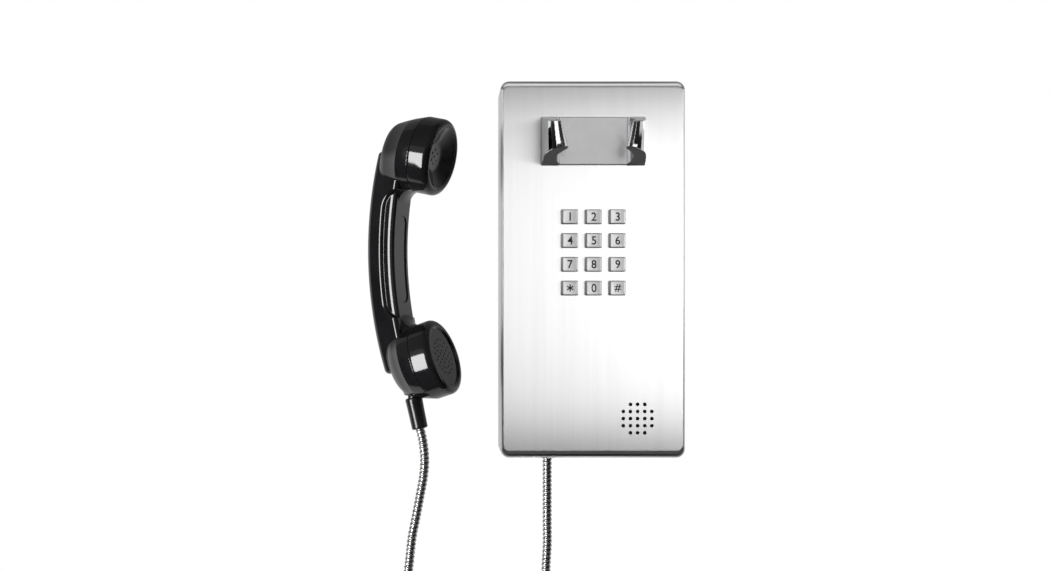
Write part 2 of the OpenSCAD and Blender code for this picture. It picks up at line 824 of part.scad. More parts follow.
module microphone() {
    color("gray") in_handset() on_seam(mouth_rim, mouth_tilt) translate([0, 0, 3]) cylinder(r = 13, h = 9);
}

module mic_holder() {
    color("dimgray") in_handset() on_seam(mouth_rim, mouth_tilt) difference() {
        translate([0, 0, capsule_z]) cylinder(r = capsule_r, h = 13.2);
        translate([0, 0, 2.9]) cylinder(r = 13.1, h = 6);
    }
}

module handset_lead() {
    color("firebrick") in_handset() swept_tube(LEAD_ROUTE, lead_r, 8);
}

module housing_leads() {
    color("firebrick") for (route = [CORD_LEAD, KEYPAD_LEAD, HOOK_LEAD, SPEAKER_LEAD])
        swept_tube(route, lead_r, 8, side = [1, 0, 0]);
}

housing();
back_plate();
housing_seal();
security_screws();
security_nuts();
cradle();
cradle_gasket();
cradle_screws();
hook_board();
reed_switch();
key(0, 0);  // key_1
key(1, 0);  // key_2
key(2, 0);  // key_3
key(0, 1);  // key_4
key(1, 1);  // key_5
key(2, 1);  // key_6
key(0, 2);  // key_7
key(1, 2);  // key_8
key(2, 2);  // key_9
key(0, 3);  // key_star
key(1, 3);  // key_0
key(2, 3);  // key_hash
keypad_frame();
dome_mat();
keypad_board();
keypad_backing();
panel_studs();
panel_nuts();
speaker_screen();
speaker_gasket();
speaker_basket();
speaker_cone();
speaker_magnet();
main_board();
board_standoffs();
board_screws();
line_transformer();
terminal_block();
board_parts();
earth_stud();
earth_nut();
line_grommet();
cord_gland();
gland_nut();
cord_bush();
cord();
boot();
handset_body();
ear_cap();
mouth_cap();
receiver();
receiver_seal();
hook_magnet();
microphone();
mic_holder();
handset_lead();
housing_leads();
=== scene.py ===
"""Looks of the wall telephone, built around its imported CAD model: the detailed cover, handset,
cradle, keys and armoured cord, their materials, the lights and the camera.
Lengths are in metres, except where a section or a comment says millimetres."""

import json
import math

import bmesh
import bpy
import numpy as np
from mathutils import Matrix, Vector

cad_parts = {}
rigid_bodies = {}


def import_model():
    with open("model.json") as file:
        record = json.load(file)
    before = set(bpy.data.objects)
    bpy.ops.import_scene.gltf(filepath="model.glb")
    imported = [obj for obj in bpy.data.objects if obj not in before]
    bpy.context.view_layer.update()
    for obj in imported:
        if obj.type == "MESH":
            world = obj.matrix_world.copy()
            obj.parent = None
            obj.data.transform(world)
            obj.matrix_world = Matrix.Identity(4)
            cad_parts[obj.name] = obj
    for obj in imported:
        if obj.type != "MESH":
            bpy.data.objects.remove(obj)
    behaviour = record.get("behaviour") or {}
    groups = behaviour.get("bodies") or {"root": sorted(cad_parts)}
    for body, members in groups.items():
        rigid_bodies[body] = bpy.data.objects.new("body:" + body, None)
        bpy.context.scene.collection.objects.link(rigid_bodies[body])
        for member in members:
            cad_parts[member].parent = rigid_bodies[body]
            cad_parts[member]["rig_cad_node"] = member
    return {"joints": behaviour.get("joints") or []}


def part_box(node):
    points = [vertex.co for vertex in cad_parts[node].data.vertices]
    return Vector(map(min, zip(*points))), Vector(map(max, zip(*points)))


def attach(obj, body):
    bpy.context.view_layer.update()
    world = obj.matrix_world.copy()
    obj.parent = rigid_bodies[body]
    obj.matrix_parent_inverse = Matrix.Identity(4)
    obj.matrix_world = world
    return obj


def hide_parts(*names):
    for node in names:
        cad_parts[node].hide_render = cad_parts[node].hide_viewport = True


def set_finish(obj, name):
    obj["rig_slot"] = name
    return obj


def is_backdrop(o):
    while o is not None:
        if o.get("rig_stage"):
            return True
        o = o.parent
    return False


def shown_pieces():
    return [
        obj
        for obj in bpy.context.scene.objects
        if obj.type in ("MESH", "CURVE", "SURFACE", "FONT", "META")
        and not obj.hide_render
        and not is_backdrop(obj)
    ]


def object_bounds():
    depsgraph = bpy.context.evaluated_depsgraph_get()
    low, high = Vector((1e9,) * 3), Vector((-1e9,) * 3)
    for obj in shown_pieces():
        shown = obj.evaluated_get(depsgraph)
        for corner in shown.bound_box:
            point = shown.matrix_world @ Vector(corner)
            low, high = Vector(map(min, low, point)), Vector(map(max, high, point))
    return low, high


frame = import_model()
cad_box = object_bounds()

MM = 0.001
scene = bpy.context.scene
scene.view_settings.view_transform = "Standard"

HOUSING_LOW, HOUSING_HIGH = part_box("housing")
FRONT_Y = HOUSING_LOW.y


# ---------- camera ----------


def make_camera():
    """Level camera a little left of the housing and below its middle, 1.4 m from its front."""
    data = bpy.data.cameras.new("camera")
    data.sensor_width = 36
    data.lens = 60
    data.shift_x = 0.078
    data.shift_y = 0.037
    data.clip_start = 0.05
    data.clip_end = 20
    camera = bpy.data.objects.new("camera", data)
    camera.location = (-0.120, FRONT_Y - 1.40, -0.044)
    camera.rotation_euler = (math.radians(90), 0, 0)
    scene.collection.objects.link(camera)
    scene.camera = camera


make_camera()


# ---------- meshes ----------


def new_object(name, mesh, body, slot_name, *replaced):
    """Puts a mesh in the scene on its CAD body, with its finish and the nodes it stands for."""
    obj = bpy.data.objects.new(name, mesh)
    scene.collection.objects.link(obj)
    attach(obj, body)
    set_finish(obj, slot_name)
    if replaced:
        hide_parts(*replaced)
    return obj


def shade_smooth(mesh, sharp_deg=None):
    """Smooth shading, with edges sharper than sharp_deg kept crisp."""
    mesh.polygons.foreach_set("use_smooth", [True] * len(mesh.polygons))
    if sharp_deg is not None:
        mesh.set_sharp_from_angle(angle=math.radians(sharp_deg))


def mesh_from(name, points, faces, sharp_deg=None):
    """A smooth-shaded mesh from its points and faces."""
    mesh = bpy.data.meshes.new(name)
    mesh.from_pydata([tuple(p) for p in points], [], faces)
    mesh.update()
    shade_smooth(mesh, sharp_deg)
    return mesh


def lathe(profile, sides=96):
    """Points and faces of a form turned about Z, from pairs of a radius and a height."""
    points, rings, faces = [], [], []
    for radius, height in profile:
        if radius < 1e-9:
            rings.append([len(points)])
            points.append((0.0, 0.0, height))
            continue
        rings.append(list(range(len(points), len(points) + sides)))
        for k in range(sides):
            angle = 2 * math.pi * k / sides
            points.append((radius * math.cos(angle), radius * math.sin(angle), height))
    for low, high in zip(rings, rings[1:]):
        for k in range(sides):
            n = (k + 1) % sides
            if len(low) == 1:
                faces.append((low[0], high[n], high[k]))
            elif len(high) == 1:
                faces.append((low[k], low[n], high[0]))
            else:
                faces.append((low[k], low[n], high[n], high[k]))
    return points, faces


def arc(centre, radius, start_deg, end_deg, count):
    """Points along an arc of a profile or an outline."""
    angles = [math.radians(start_deg + (end_deg - start_deg) * i / count)
              for i in range(count + 1)]
    return [(centre[0] + radius * math.cos(a), centre[1] + radius * math.sin(a)) for a in angles]


def placed(points, matrix):
    return [matrix @ Vector(p) for p in points]


def gathered(parts):
    """Joins several (points, faces) into one."""
    points, faces = [], []
    for part_points, part_faces in parts:
        base = len(points)
        points += list(part_points)
        faces += [tuple(base + i for i in f) for f in part_faces]
    return points, faces


def clean_normals(mesh):
    """Turns every face of a closed mesh outwards."""
    bm = bmesh.new()
    bm.from_mesh(mesh)
    bmesh.ops.remove_doubles(bm, verts=bm.verts, dist=1e-7)
    bmesh.ops.recalc_face_normals(bm, faces=bm.faces)
    bm.to_mesh(mesh)
    bm.free()


def cutter_from(mesh):
    """Puts a mesh in the scene as a cutter, which cut() uses up."""
    cutter = bpy.data.objects.new("cutter", mesh)
    scene.collection.objects.link(cutter)
    return cutter


def cut(obj, cutter):
    """Takes a cutter out of an object, with the cutter's material on the cut faces."""
    modifier = obj.modifiers.new("cut", "BOOLEAN")
    modifier.operation = "DIFFERENCE"
    modifier.solver = "EXACT"
    modifier.use_self = True
    modifier.material_mode = "TRANSFER"
    modifier.object = cutter
    evaluated = obj.evaluated_get(bpy.context.evaluated_depsgraph_get())
    mesh = bpy.data.meshes.new_from_object(evaluated)
    obj.modifiers.clear()
    obj.data = mesh
    bpy.data.objects.remove(cutter)


# ---------- smooth solids from distance fields, in millimetres ----------

SETTLE_ROUNDS = 6


def join_round(a, b, r):
    """Union of two fields with a fillet of radius r in the corner between them."""
    corner = np.hypot(np.maximum(r - a, 0), np.maximum(r - b, 0))
    return np.maximum(r, np.minimum(a, b)) - corner


def meet_round(a, b, r):
    """Intersection of two fields with a rounded edge of radius r."""
    edge = np.hypot(np.maximum(r + a, 0), np.maximum(r + b, 0))
    return np.minimum(-r, np.maximum(a, b)) + edge


def box_2d(x, y, half_x, half_y, r):
    """Distance to a rectangle with rounded corners."""
    qx = np.abs(x) - half_x + r
    qy = np.abs(y) - half_y + r
    outside = np.hypot(np.maximum(qx, 0), np.maximum(qy, 0))
    return outside + np.minimum(np.maximum(qx, qy), 0) - r


def polygon_2d(x, y, outline):
    """Distance to a closed outline, negative inside."""
    nearest = np.full(x.shape, 1e9)
    inside = np.zeros(x.shape, bool)
    for (ax, ay), (bx, by) in zip(outline, outline[1:] + outline[:1]):
        ex, ey = bx - ax, by - ay
        px, py = x - ax, y - ay
        along = np.clip((px * ex + py * ey) / (ex * ex + ey * ey), 0, 1)
        nearest = np.minimum(nearest, np.hypot(px - ex * along, py - ey * along))
        if ay != by:
            crosses = ((ay > y) != (by > y)) & (x < ax + (y - ay) * ex / ey)
            inside ^= crosses
    return np.where(inside, -nearest, nearest)


def step_smooth(x, low, high):
    """Rises from 0 at low to 1 at high, with soft ends."""
    t = np.clip((x - low) / (high - low), 0, 1)
    return t * t * (3 - 2 * t)


def field_slope(field, points, reach=0.05):
    """Gradient of a field by central differences."""
    slope = np.empty_like(points)
    for axis in range(3):
        shift = np.zeros(3)
        shift[axis] = reach
        slope[:, axis] = (field(points + shift) - field(points - shift)) / (2 * reach)
    return slope


def field_mesh(name, field, low, high, step, matrix):
    """Skins a field with quads whose corners lie on its surface, with normals from the field."""
    axes = [np.arange(a, b + step, step) for a, b in zip(low, high)]
    grid = np.stack(np.meshgrid(*axes, indexing="ij"), -1).reshape(-1, 3)
    size = [len(a) for a in axes]
    inside = (field(grid) < 0).reshape(size)
    corners = sum(
        inside[i:size[0] - 1 + i, j:size[1] - 1 + j, k:size[2] - 1 + k].astype(int)
        for i in (0, 1) for j in (0, 1) for k in (0, 1))
    cells = (corners > 0) & (corners < 8)
    index = np.full(cells.shape, -1)
    index[cells] = np.arange(cells.sum())
    points = np.argwhere(cells) * step + np.array([a[0] for a in axes]) + step / 2
    for _ in range(SETTLE_ROUNDS):
        slope = field_slope(field, points)
        length = np.linalg.norm(slope, axis=1)
        move = field(points) / np.maximum(length, 0.2)
        move = np.clip(move, -step / 2, step / 2)
        points = points - slope / np.maximum(length, 1e-6)[:, None] * move[:, None]
    quads = []
    for axis in range(3):
        b, c = [i for i in range(3) if i != axis]
        here = np.take(inside, range(size[axis] - 1), axis)
        there = np.take(inside, range(1, size[axis]), axis)
        for entering in (False, True):
            edges = np.argwhere((here != there) & (there == entering))
            edges = edges[(edges[:, b] > 0) & (edges[:, c] > 0)]
            ring = []
            for db, dc in ((1, 1), (0, 1), (0, 0), (1, 0)):
                cell = edges.copy()
                cell[:, b] -= db
                cell[:, c] -= dc
                ring.append(index[cell[:, 0], cell[:, 1], cell[:, 2]])
            quad = np.stack(ring, 1)
            if entering != (axis == 1):
                quad = quad[:, ::-1]
            quads.append(quad)
    quads = np.concatenate(quads)
    if matrix.determinant() < 0:
        quads = quads[:, ::-1]
    slope = field_slope(field, points)
    normals = slope / np.maximum(np.linalg.norm(slope, axis=1), 1e-9)[:, None]
    turn = np.array(matrix.to_3x3())
    world = (points * MM) @ turn.T + np.array(matrix.translation)
    mesh = mesh_from(name, world, quads.tolist())
    mesh.normals_split_custom_set_from_vertices((normals @ turn.T).tolist())
    return mesh


# ---------- housing ----------

KEY_MARKS = {"key_1": "1", "key_2": "2", "key_3": "3", "key_4": "4", "key_5": "5", "key_6": "6",
             "key_7": "7", "key_8": "8", "key_9": "9", "key_star": "*", "key_0": "0",
             "key_hash": "#"}
KEY_FLANGE = 1.3 * MM
KEY_SLOPE = 1.2 * MM
KEY_GAP = 0.35 * MM
KEY_CORNER = 1.0 * MM
GRILLE_PITCH = 5.7 * MM
GRILLE_HOLE_R = 1.5 * MM
GLAND_HOLE_R = 6.5 * MM
SCREW_HOLE_R = 2.7 * MM
SCREW_HEAD_R = 4.7 * MM
CUT_OUTSIDE = 1 * MM
CUT_INSIDE = 4 * MM


def rounded_outline(half_w, half_h, r, count=6):
    """Corner arcs of a rectangle, anticlockwise."""
    points = []
    for cx, cy, start in ((half_w - r, half_h - r, 0), (r - half_w, half_h - r, 90),
                          (r - half_w, r - half_h, 180), (half_w - r, r - half_h, 270)):
        points += arc((cx, cy), r, start, start + 90, count)
    return points


def prism(outline, front, back):
    """A straight-sided solid along Y from an outline in X and Z."""
    n = len(outline)
    points = [(x, y, z) for y in (front, back) for x, z in outline]
    faces = [(k, (k + 1) % n, n + (k + 1) % n, n + k) for k in range(n)]
    faces += [tuple(range(n - 1, -1, -1)), tuple(range(n, 2 * n))]
    return points, faces


def upright_pin(x, y, low, high, radius):
    """A round cutter along Z."""
    points, faces = lathe([(0, low), (radius, low), (radius, high), (0, high)], 24)
    return [(px + x, py + y, pz) for px, py, pz in points], faces


def housing_openings():
    """Cutters for the keys, the grille, the cord's gland and the screws."""
    front, back = FRONT_Y - CUT_OUTSIDE, FRONT_Y + CUT_INSIDE
    bottom = (HOUSING_LOW.z - CUT_OUTSIDE, HOUSING_LOW.z + CUT_INSIDE)
    top = (HOUSING_HIGH.z - CUT_INSIDE, HOUSING_HIGH.z + CUT_OUTSIDE)
    parts = []
    for node in KEY_MARKS:
        low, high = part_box(node)
        cx, cz = (low.x + high.x) / 2, (low.z + high.z) / 2
        half_w = (high.x - low.x) / 2 - KEY_FLANGE + KEY_GAP
        half_h = (high.z - low.z) / 2 - KEY_FLANGE + KEY_GAP
        outline = rounded_outline(half_w, half_h, KEY_CORNER)
        parts.append(prism([(cx + x, cz + z) for x, z in outline], front, back))
    low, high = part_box("speaker_screen")
    cx, cz = (low.x + high.x) / 2, (low.z + high.z) / 2
    for row in range(-2, 3):
        for column in range(-2, 3):
            if abs(row) < 2 or abs(column) < 2:
                centre = (cx + column * GRILLE_PITCH, cz + row * GRILLE_PITCH)
                parts.append(prism(arc(centre, GRILLE_HOLE_R, 0, 345, 23), front, back))
    low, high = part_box("cord_gland")
    parts.append(upright_pin((low.x + high.x) / 2, (low.y + high.y) / 2, *bottom, GLAND_HOLE_R))
    low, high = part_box("security_screws")
    x, y = high.x - SCREW_HEAD_R, (low.y + high.y) / 2
    for side in (-1, 1):
        parts.append(upright_pin(side * x, y, *bottom, SCREW_HOLE_R))
        parts.append(upright_pin(side * x, y, *top, SCREW_HOLE_R))
    return gathered(parts)


def make_housing():
    """Folded steel cover, open to the wall, with soft bends and corners."""
    corner, sheet = 7 * MM, 1.5 * MM
    bend_x, bend_y, bend_z = 2.6 * MM, 5.2 * MM, 6 * MM
    bend_steps, corner_steps = 10, 8
    half_w, half_h = HOUSING_HIGH.x, HOUSING_HIGH.z
    back_y = HOUSING_HIGH.y
    points, rings = [], []
    for inset in (0, sheet):
        for i in range(-1, bend_steps + 1):
            a = math.radians(max(i, 0) * 90 / bend_steps)
            step_x = inset + (bend_x - inset) * (1 - math.cos(a))
            step_z = inset + (bend_z - inset) * (1 - math.cos(a))
            y = back_y if i < 0 else FRONT_Y + inset + (bend_y - inset) * (1 - math.sin(a))
            rings.append(len(points))
            outline = rounded_outline(half_w - step_x, half_h - step_z, corner - step_x,
                                      corner_steps)
            points += [(x, y, z) for x, z in outline]
    around = rings[1]
    loops = len(rings) // 2
    faces = []
    for first in (0, loops):
        for a, b in zip(rings[first:first + loops - 1], rings[first + 1:first + loops]):
            for k in range(around):
                n = (k + 1) % around
                faces.append((a + k, a + n, b + n, b + k))
    for last in (rings[loops - 1], rings[-1]):
        faces.append(tuple(range(last, last + around)))
    for k in range(around):
        n = (k + 1) % around
        faces.append((k, n, rings[loops] + n, rings[loops] + k))
    mesh = mesh_from("housing_cover", points, faces)
    clean_normals(mesh)
    cover = new_object("housing_cover", mesh, "root", "housing_steel", "housing")
    openings = mesh_from("openings", *housing_openings())
    clean_normals(openings)
    cut(cover, cutter_from(openings))
    shade_smooth(cover.data, 35)
    weight = cover.modifiers.new("flat_faces", "WEIGHTED_NORMAL")
    weight.mode = "FACE_AREA"
    weight.keep_sharp = True


make_housing()


# ---------- armoured cord ----------

CORD_DIAMETER = 0.0076
HOSE_PITCH = 3.5 * MM
HOSE_RINGS_PER_TURN = 10
HOSE_SIDES = 28
GROOVE_DEPTH = 0.62 * MM
STRIP_SHARE = 0.72
STRIP_FULLNESS = 0.45
# The cord's middle line, the same points as in the CAD source
ROUTE = [
    (-0.035, -0.030, -0.153), (-0.035, -0.030, -0.168), (-0.035, -0.030, -0.186),
    (-0.035, -0.030, -0.205), (-0.035, -0.031, -0.224), (-0.036, -0.031, -0.243),
    (-0.036, -0.032, -0.262), (-0.036, -0.033, -0.281), (-0.036, -0.033, -0.300),
    (-0.036, -0.034, -0.320), (-0.036, -0.035, -0.341), (-0.036, -0.036, -0.363),
    (-0.037, -0.036, -0.384), (-0.040, -0.037, -0.402), (-0.049, -0.037, -0.418),
    (-0.062, -0.038, -0.430), (-0.079, -0.039, -0.436), (-0.097, -0.039, -0.436),
    (-0.114, -0.040, -0.430), (-0.128, -0.040, -0.418), (-0.138, -0.041, -0.402),
    (-0.143, -0.041, -0.384), (-0.145, -0.042, -0.365), (-0.147, -0.042, -0.346),
    (-0.149, -0.043, -0.327), (-0.150, -0.043, -0.308), (-0.150, -0.043, -0.289),
    (-0.150, -0.044, -0.270), (-0.149, -0.044, -0.252), (-0.147, -0.044, -0.234),
    (-0.145, -0.044, -0.216), (-0.1417, -0.044, -0.199), (-0.1385, -0.044, -0.182),
    (-0.136, -0.044, -0.168), (-0.1349, -0.044, -0.154), (-0.1361, -0.044, -0.1401),
    (-0.1386, -0.044, -0.1284)]


def smooth_line(route, spacing):
    """Evenly spaced points on a smooth curve through the route's points."""
    p = np.array([route[0], *route, route[-1]])
    fine = []
    for i in range(1, len(p) - 2):
        for t in np.linspace(0, 1, 40, endpoint=False):
            fine.append(0.5 * (2 * p[i] + (p[i + 1] - p[i - 1]) * t
                               + (2 * p[i - 1] - 5 * p[i] + 4 * p[i + 1] - p[i + 2]) * t ** 2
                               + (3 * p[i] - p[i - 1] - 3 * p[i + 1] + p[i + 2]) * t ** 3))
    fine.append(p[-1])
    fine = np.array(fine)
    run = np.concatenate([[0], np.cumsum(np.linalg.norm(np.diff(fine, axis=0), axis=1))])
    count = int(round(run[-1] / spacing)) + 1
    where = np.linspace(0, run[-1], count)
    return np.stack([np.interp(where, run, fine[:, i]) for i in range(3)], 1), where


def cord_frames(line):
    """Directions across the cord at each point, carried along without twisting."""
    along = np.gradient(line, axis=0)
    along /= np.linalg.norm(along, axis=1)[:, None]
    side = np.array([1.0, 0.0, 0.0])
    sides = []
    for t in along:
        side = side - t * (side @ t)
        side = side / np.linalg.norm(side)
        sides.append(side)
    sides = np.array(sides)
    return sides, np.cross(along, sides)


def make_cord():
    """Interlocked steel hose: a helical strip whose turns overlap, with a groove between turns."""
    around = HOSE_SIDES
    line, run = smooth_line(ROUTE, HOSE_PITCH / HOSE_RINGS_PER_TURN)
    sides, others = cord_frames(line)
    angle = 2 * math.pi * np.arange(around) / around
    phase = (run[:, None] / HOSE_PITCH + angle[None, :] / (2 * math.pi)) % 1.0
    crown = np.sin(math.pi * np.clip(phase / STRIP_SHARE, 0, 1))
    ridge = np.clip(crown, 0, 1) ** STRIP_FULLNESS
    radius = CORD_DIAMETER / 2 - GROOVE_DEPTH * (1 - ridge)
    offset = (np.cos(angle)[None, :, None] * sides[:, None, :]
              + np.sin(angle)[None, :, None] * others[:, None, :])
    points = (line[:, None, :] + offset * radius[:, :, None]).reshape(-1, 3)
    faces = []
    for i in range(len(line) - 1):
        for k in range(around):
            n = (k + 1) % around
            here, there = i * around, (i + 1) * around
            faces.append((here + k, here + n, there + n, there + k))
    faces.append(tuple(range(around - 1, -1, -1)))
    last = (len(line) - 1) * around
    faces.append(tuple(range(last, last + around)))
    cord = new_object("armoured_hose", mesh_from("armoured_hose", points, faces, 60),
                      "armoured_cord", "cord_armour", "cord")


make_cord()


# ---------- handset ----------

SWIVEL = Vector(next(j["pos_m"] for j in frame["joints"] if j["name"] == "handset_swivel"))
HANDSET_YAW = math.radians(-22.8)
# From here to the cradle, bare lengths and fields are in millimetres in the handset's own axes:
# +X is the way the caps face, +Z runs from the mouth cap to the ear cap
SWIVEL_U = 23.0
HANDSET = (Matrix.Translation((SWIVEL.x, SWIVEL.y, 0)) @ Matrix.Rotation(HANDSET_YAW, 4, "Z")
           @ Matrix.Translation((-SWIVEL_U * MM, 0, 0)))

CAP_LENGTH = 17.5
CAP_RADIUS = 31.1
CAP_ROLL = 5
NECK_RADIUS = 27.0
NECK_LENGTH = 7.5
NECK_WALL = 2
EAR_RIM, EAR_TILT = (49.0, 89.3), -12.0
MOUTH_RIM, MOUTH_TILT = (50.9, -69.1), 17.9
BOWL_RADIUS = 30.8
BOWL_WALL = 4.5
BOWL_BULGE = 0.9
BOWL_NARROWING = 0.026
BOWL_NARROW_FROM = 11
GRIP_BOW = 308.0
GRIP_MID_Z = 16.0
GRIP_BACK = -14.5
GRIP_FRONT = 12
RECESS_FLOOR = 11.1
UPPER_FLARE, LOWER_FLARE = 14.5, 12
COLLAR_RADIUS = 7.4
BOSS_RADIUS = 9
SWIVEL_BORE = 4.55


def seam_centre(rim, tilt):
    """Middle of the joint between a cap and its bowl, in the handset's plane."""
    a = math.radians(tilt)
    return rim[0] - CAP_LENGTH * math.cos(a), rim[1] - CAP_LENGTH * math.sin(a)


def cap_axes(p, rim, tilt):
    """Depth of points behind a cap's seam, and their height across the cap's face."""
    a = math.radians(tilt)
    cu, cz = seam_centre(rim, tilt)
    u, z = p[:, 0] - cu, p[:, 2] - cz
    return -(u * math.cos(a) + z * math.sin(a)), z * math.cos(a) - u * math.sin(a)


def bowl_field(p, rim, tilt, lean, back_r, depth, edge_r):
    """A cup behind a cap: round at the seam, smaller, narrower and leaning over at its back."""
    behind, across = cap_axes(p, rim, tilt)
    narrowing = 1 + BOWL_NARROWING * np.clip(behind - BOWL_NARROW_FROM, 0, depth)
    radius = np.hypot(across - lean * behind, p[:, 1] * narrowing)
    taper = (BOWL_RADIUS - back_r) / depth
    side = (radius - BOWL_RADIUS + taper * behind) / math.hypot(1, taper)
    bulge = BOWL_BULGE * np.sin(np.clip(behind / depth, 0, 1) * math.pi)
    return meet_round(side - bulge, behind - depth, edge_r)


def neck_field(p, rim, tilt, radius, reach):
    """The round neck that a cap screws onto, from 6 mm behind the seam to its reach in front."""
    behind, across = cap_axes(p, rim, tilt)
    along = np.maximum(-behind - reach, behind - 6)
    return np.maximum(np.hypot(across, p[:, 1]) - radius, along)


def ear_bowl(p):
    return bowl_field(p, EAR_RIM, EAR_TILT, lean=-0.20, back_r=24.7, depth=31.5, edge_r=7.5)


def mouth_bowl(p):
    return bowl_field(p, MOUTH_RIM, MOUTH_TILT, lean=0.16, back_r=23.5, depth=28.0, edge_r=10.0)


def grip_depth(p):
    """Depth of points through the bowed grip, rising from its back to the fingers' side."""
    return GRIP_BOW - np.hypot(p[:, 0] - GRIP_BOW, p[:, 2] - GRIP_MID_Z)


def grip_field(p):
    """A bowed bar: a wide back part with slanting sides, and a narrower part in front of it."""
    t, w, z = grip_depth(p), np.abs(p[:, 1]), p[:, 2]
    up = np.clip(z - 50, 0, 14)
    down = np.clip(-27 - z, 0, 11.5)
    edge = 3.2 + (UPPER_FLARE - np.sqrt(UPPER_FLARE ** 2 - up ** 2))
    edge = edge + (LOWER_FLARE - np.sqrt(LOWER_FLARE ** 2 - down ** 2))
    slant = (w - 10.2) * 0.926 - (t - GRIP_BACK) * 0.377
    back = meet_round(meet_round(slant, GRIP_BACK - t, 4.5), t - edge, 5.5)
    side = (w - 15.2 + (t - 7.6) ** 2 / 20) * 0.93
    inner = meet_round(side, t - GRIP_FRONT, 1.4)
    inner = np.maximum(inner, -t - 6)
    recess = np.maximum(box_2d(p[:, 1], z - 9, 9.5, 35, 8), RECESS_FLOOR - t)
    bar = join_round(back, meet_round(inner, -recess, 0.3), 0.7)
    return meet_round(meet_round(bar, z - 96, 3), -84 - z, 3)


def handset_field(p):
    """The handset's body, hollowed for the capsules, the lead and the swivel pin."""
    ear, mouth = ear_bowl(p), mouth_bowl(p)
    ear_cut, _ = cap_axes(p, EAR_RIM, EAR_TILT)
    mouth_cut, _ = cap_axes(p, MOUTH_RIM, MOUTH_TILT)
    inner_face = step_smooth(p[:, 0], 9, 15) * (1 - step_smooth(np.abs(p[:, 1]), 11, 16))
    fillet = 0.6 + 11 * inner_face
    form = join_round(grip_field(p), ear, fillet)
    form = join_round(form, mouth, fillet)
    around_pin = np.hypot(p[:, 0] - SWIVEL_U, p[:, 1])
    collar = np.maximum(around_pin - COLLAR_RADIUS, np.maximum(p[:, 2] + 90, -101.0 - p[:, 2]))
    form = join_round(form, collar, 2.5)
    past_ear_seam = np.where(p[:, 2] > 20, -ear_cut, -50.0)
    past_mouth_seam = np.where(p[:, 2] < -15, -mouth_cut, -50.0)
    form = meet_round(meet_round(form, past_ear_seam, 0.5), past_mouth_seam, 0.5)
    necks = np.minimum(neck_field(p, EAR_RIM, EAR_TILT, NECK_RADIUS, NECK_LENGTH - 0.2),
                       neck_field(p, MOUTH_RIM, MOUTH_TILT, NECK_RADIUS, NECK_LENGTH - 0.2))
    form = np.minimum(form, necks)
    hollow_ear = np.minimum(np.maximum(ear + BOWL_WALL, -ear_cut),
                            neck_field(p, EAR_RIM, EAR_TILT, NECK_RADIUS - NECK_WALL, 20))
    hollow_mouth = np.minimum(np.maximum(mouth + BOWL_WALL, -mouth_cut),
                              neck_field(p, MOUTH_RIM, MOUTH_TILT, NECK_RADIUS - NECK_WALL, 20))
    boss = np.maximum(around_pin - BOSS_RADIUS, p[:, 2] + 89.1)
    channel = np.maximum(box_2d(grip_depth(p), p[:, 1], 7, 10, 2), np.abs(p[:, 2] - 10) - 76)
    form = np.maximum(form, -hollow_ear)
    form = np.maximum(form, -np.maximum(hollow_mouth, -boss))
    form = np.maximum(form, -channel)
    bore = np.maximum(around_pin - SWIVEL_BORE, p[:, 2] + 80)
    return np.maximum(form, -bore)


def make_handset_body():
    step = 0.7
    mesh = field_mesh("handset_shell", handset_field, (-20, -34, -108), (50, 34, 128), step,
                      HANDSET)
    new_object("handset_shell", mesh, "handset", "handset_plastic", "handset_body")


def on_seam(rim, tilt):
    """Stands a child whose axis is +Z on a cap's seam, facing the way the cap faces."""
    cu, cz = seam_centre(rim, tilt)
    return (HANDSET @ Matrix.Translation((cu * MM, 0, cz * MM))
            @ Matrix.Rotation(math.radians(90 - tilt), 4, "Y"))


def cap_profile(face):
    """Profile of a screw cap: the skirt inside and out, a rolled rim, then the given face."""
    floor = NECK_LENGTH + 0.1
    bore = NECK_RADIUS + 0.05
    skirt = [(0, floor), (bore, floor), (bore, 0.05), (30.2, 0.05)]
    side = [(30.7, 0.2), (31.0, 0.5), (CAP_RADIUS, 1.0), (CAP_RADIUS, 1.6), (CAP_RADIUS, 7.0),
            (CAP_RADIUS, 12.4)]
    rim = arc((CAP_RADIUS - CAP_ROLL, CAP_LENGTH - CAP_ROLL), CAP_ROLL, 0, 90, 12)[1:]
    outline = skirt + side + rim + face
    return [(r * MM, z * MM) for r, z in outline]


def hole_cutter(places, radius, low, high):
    """One mesh of round pins that drill the holes of a cap."""
    profile = [(0, low), (radius, low), (radius, high), (0, high)]
    pin, faces = lathe([(r * MM, z * MM) for r, z in profile], 16)
    return gathered(([(px + x * MM, py + y * MM, pz) for px, py, pz in pin], faces)
                    for x, y in places)


def ring_places(pitch, turns):
    """Hole centres: one in the middle and rings of six, twelve and so on about it."""
    places = [(0.0, 0.0)]
    for turn in range(1, turns + 1):
        for i in range(6 * turn):
            angle = 2 * math.pi * i / (6 * turn)
            places.append((pitch * turn * math.cos(angle), pitch * turn * math.sin(angle)))
    return places


def make_cap(name, node, rim, tilt, face, places, hole_r):
    """A screw cap with its face drilled through at the given places."""
    matrix = on_seam(rim, tilt)
    points, faces = lathe(cap_profile(face))
    mesh = mesh_from(name, placed(points, matrix), faces)
    cap = new_object(name, mesh, "handset", "cap_plastic", node)
    pins, pin_faces = hole_cutter(places, hole_r, 1.0, CAP_LENGTH + 2)
    cut(cap, cutter_from(mesh_from("holes", placed(pins, matrix), pin_faces)))
    shade_smooth(cap.data, 28)


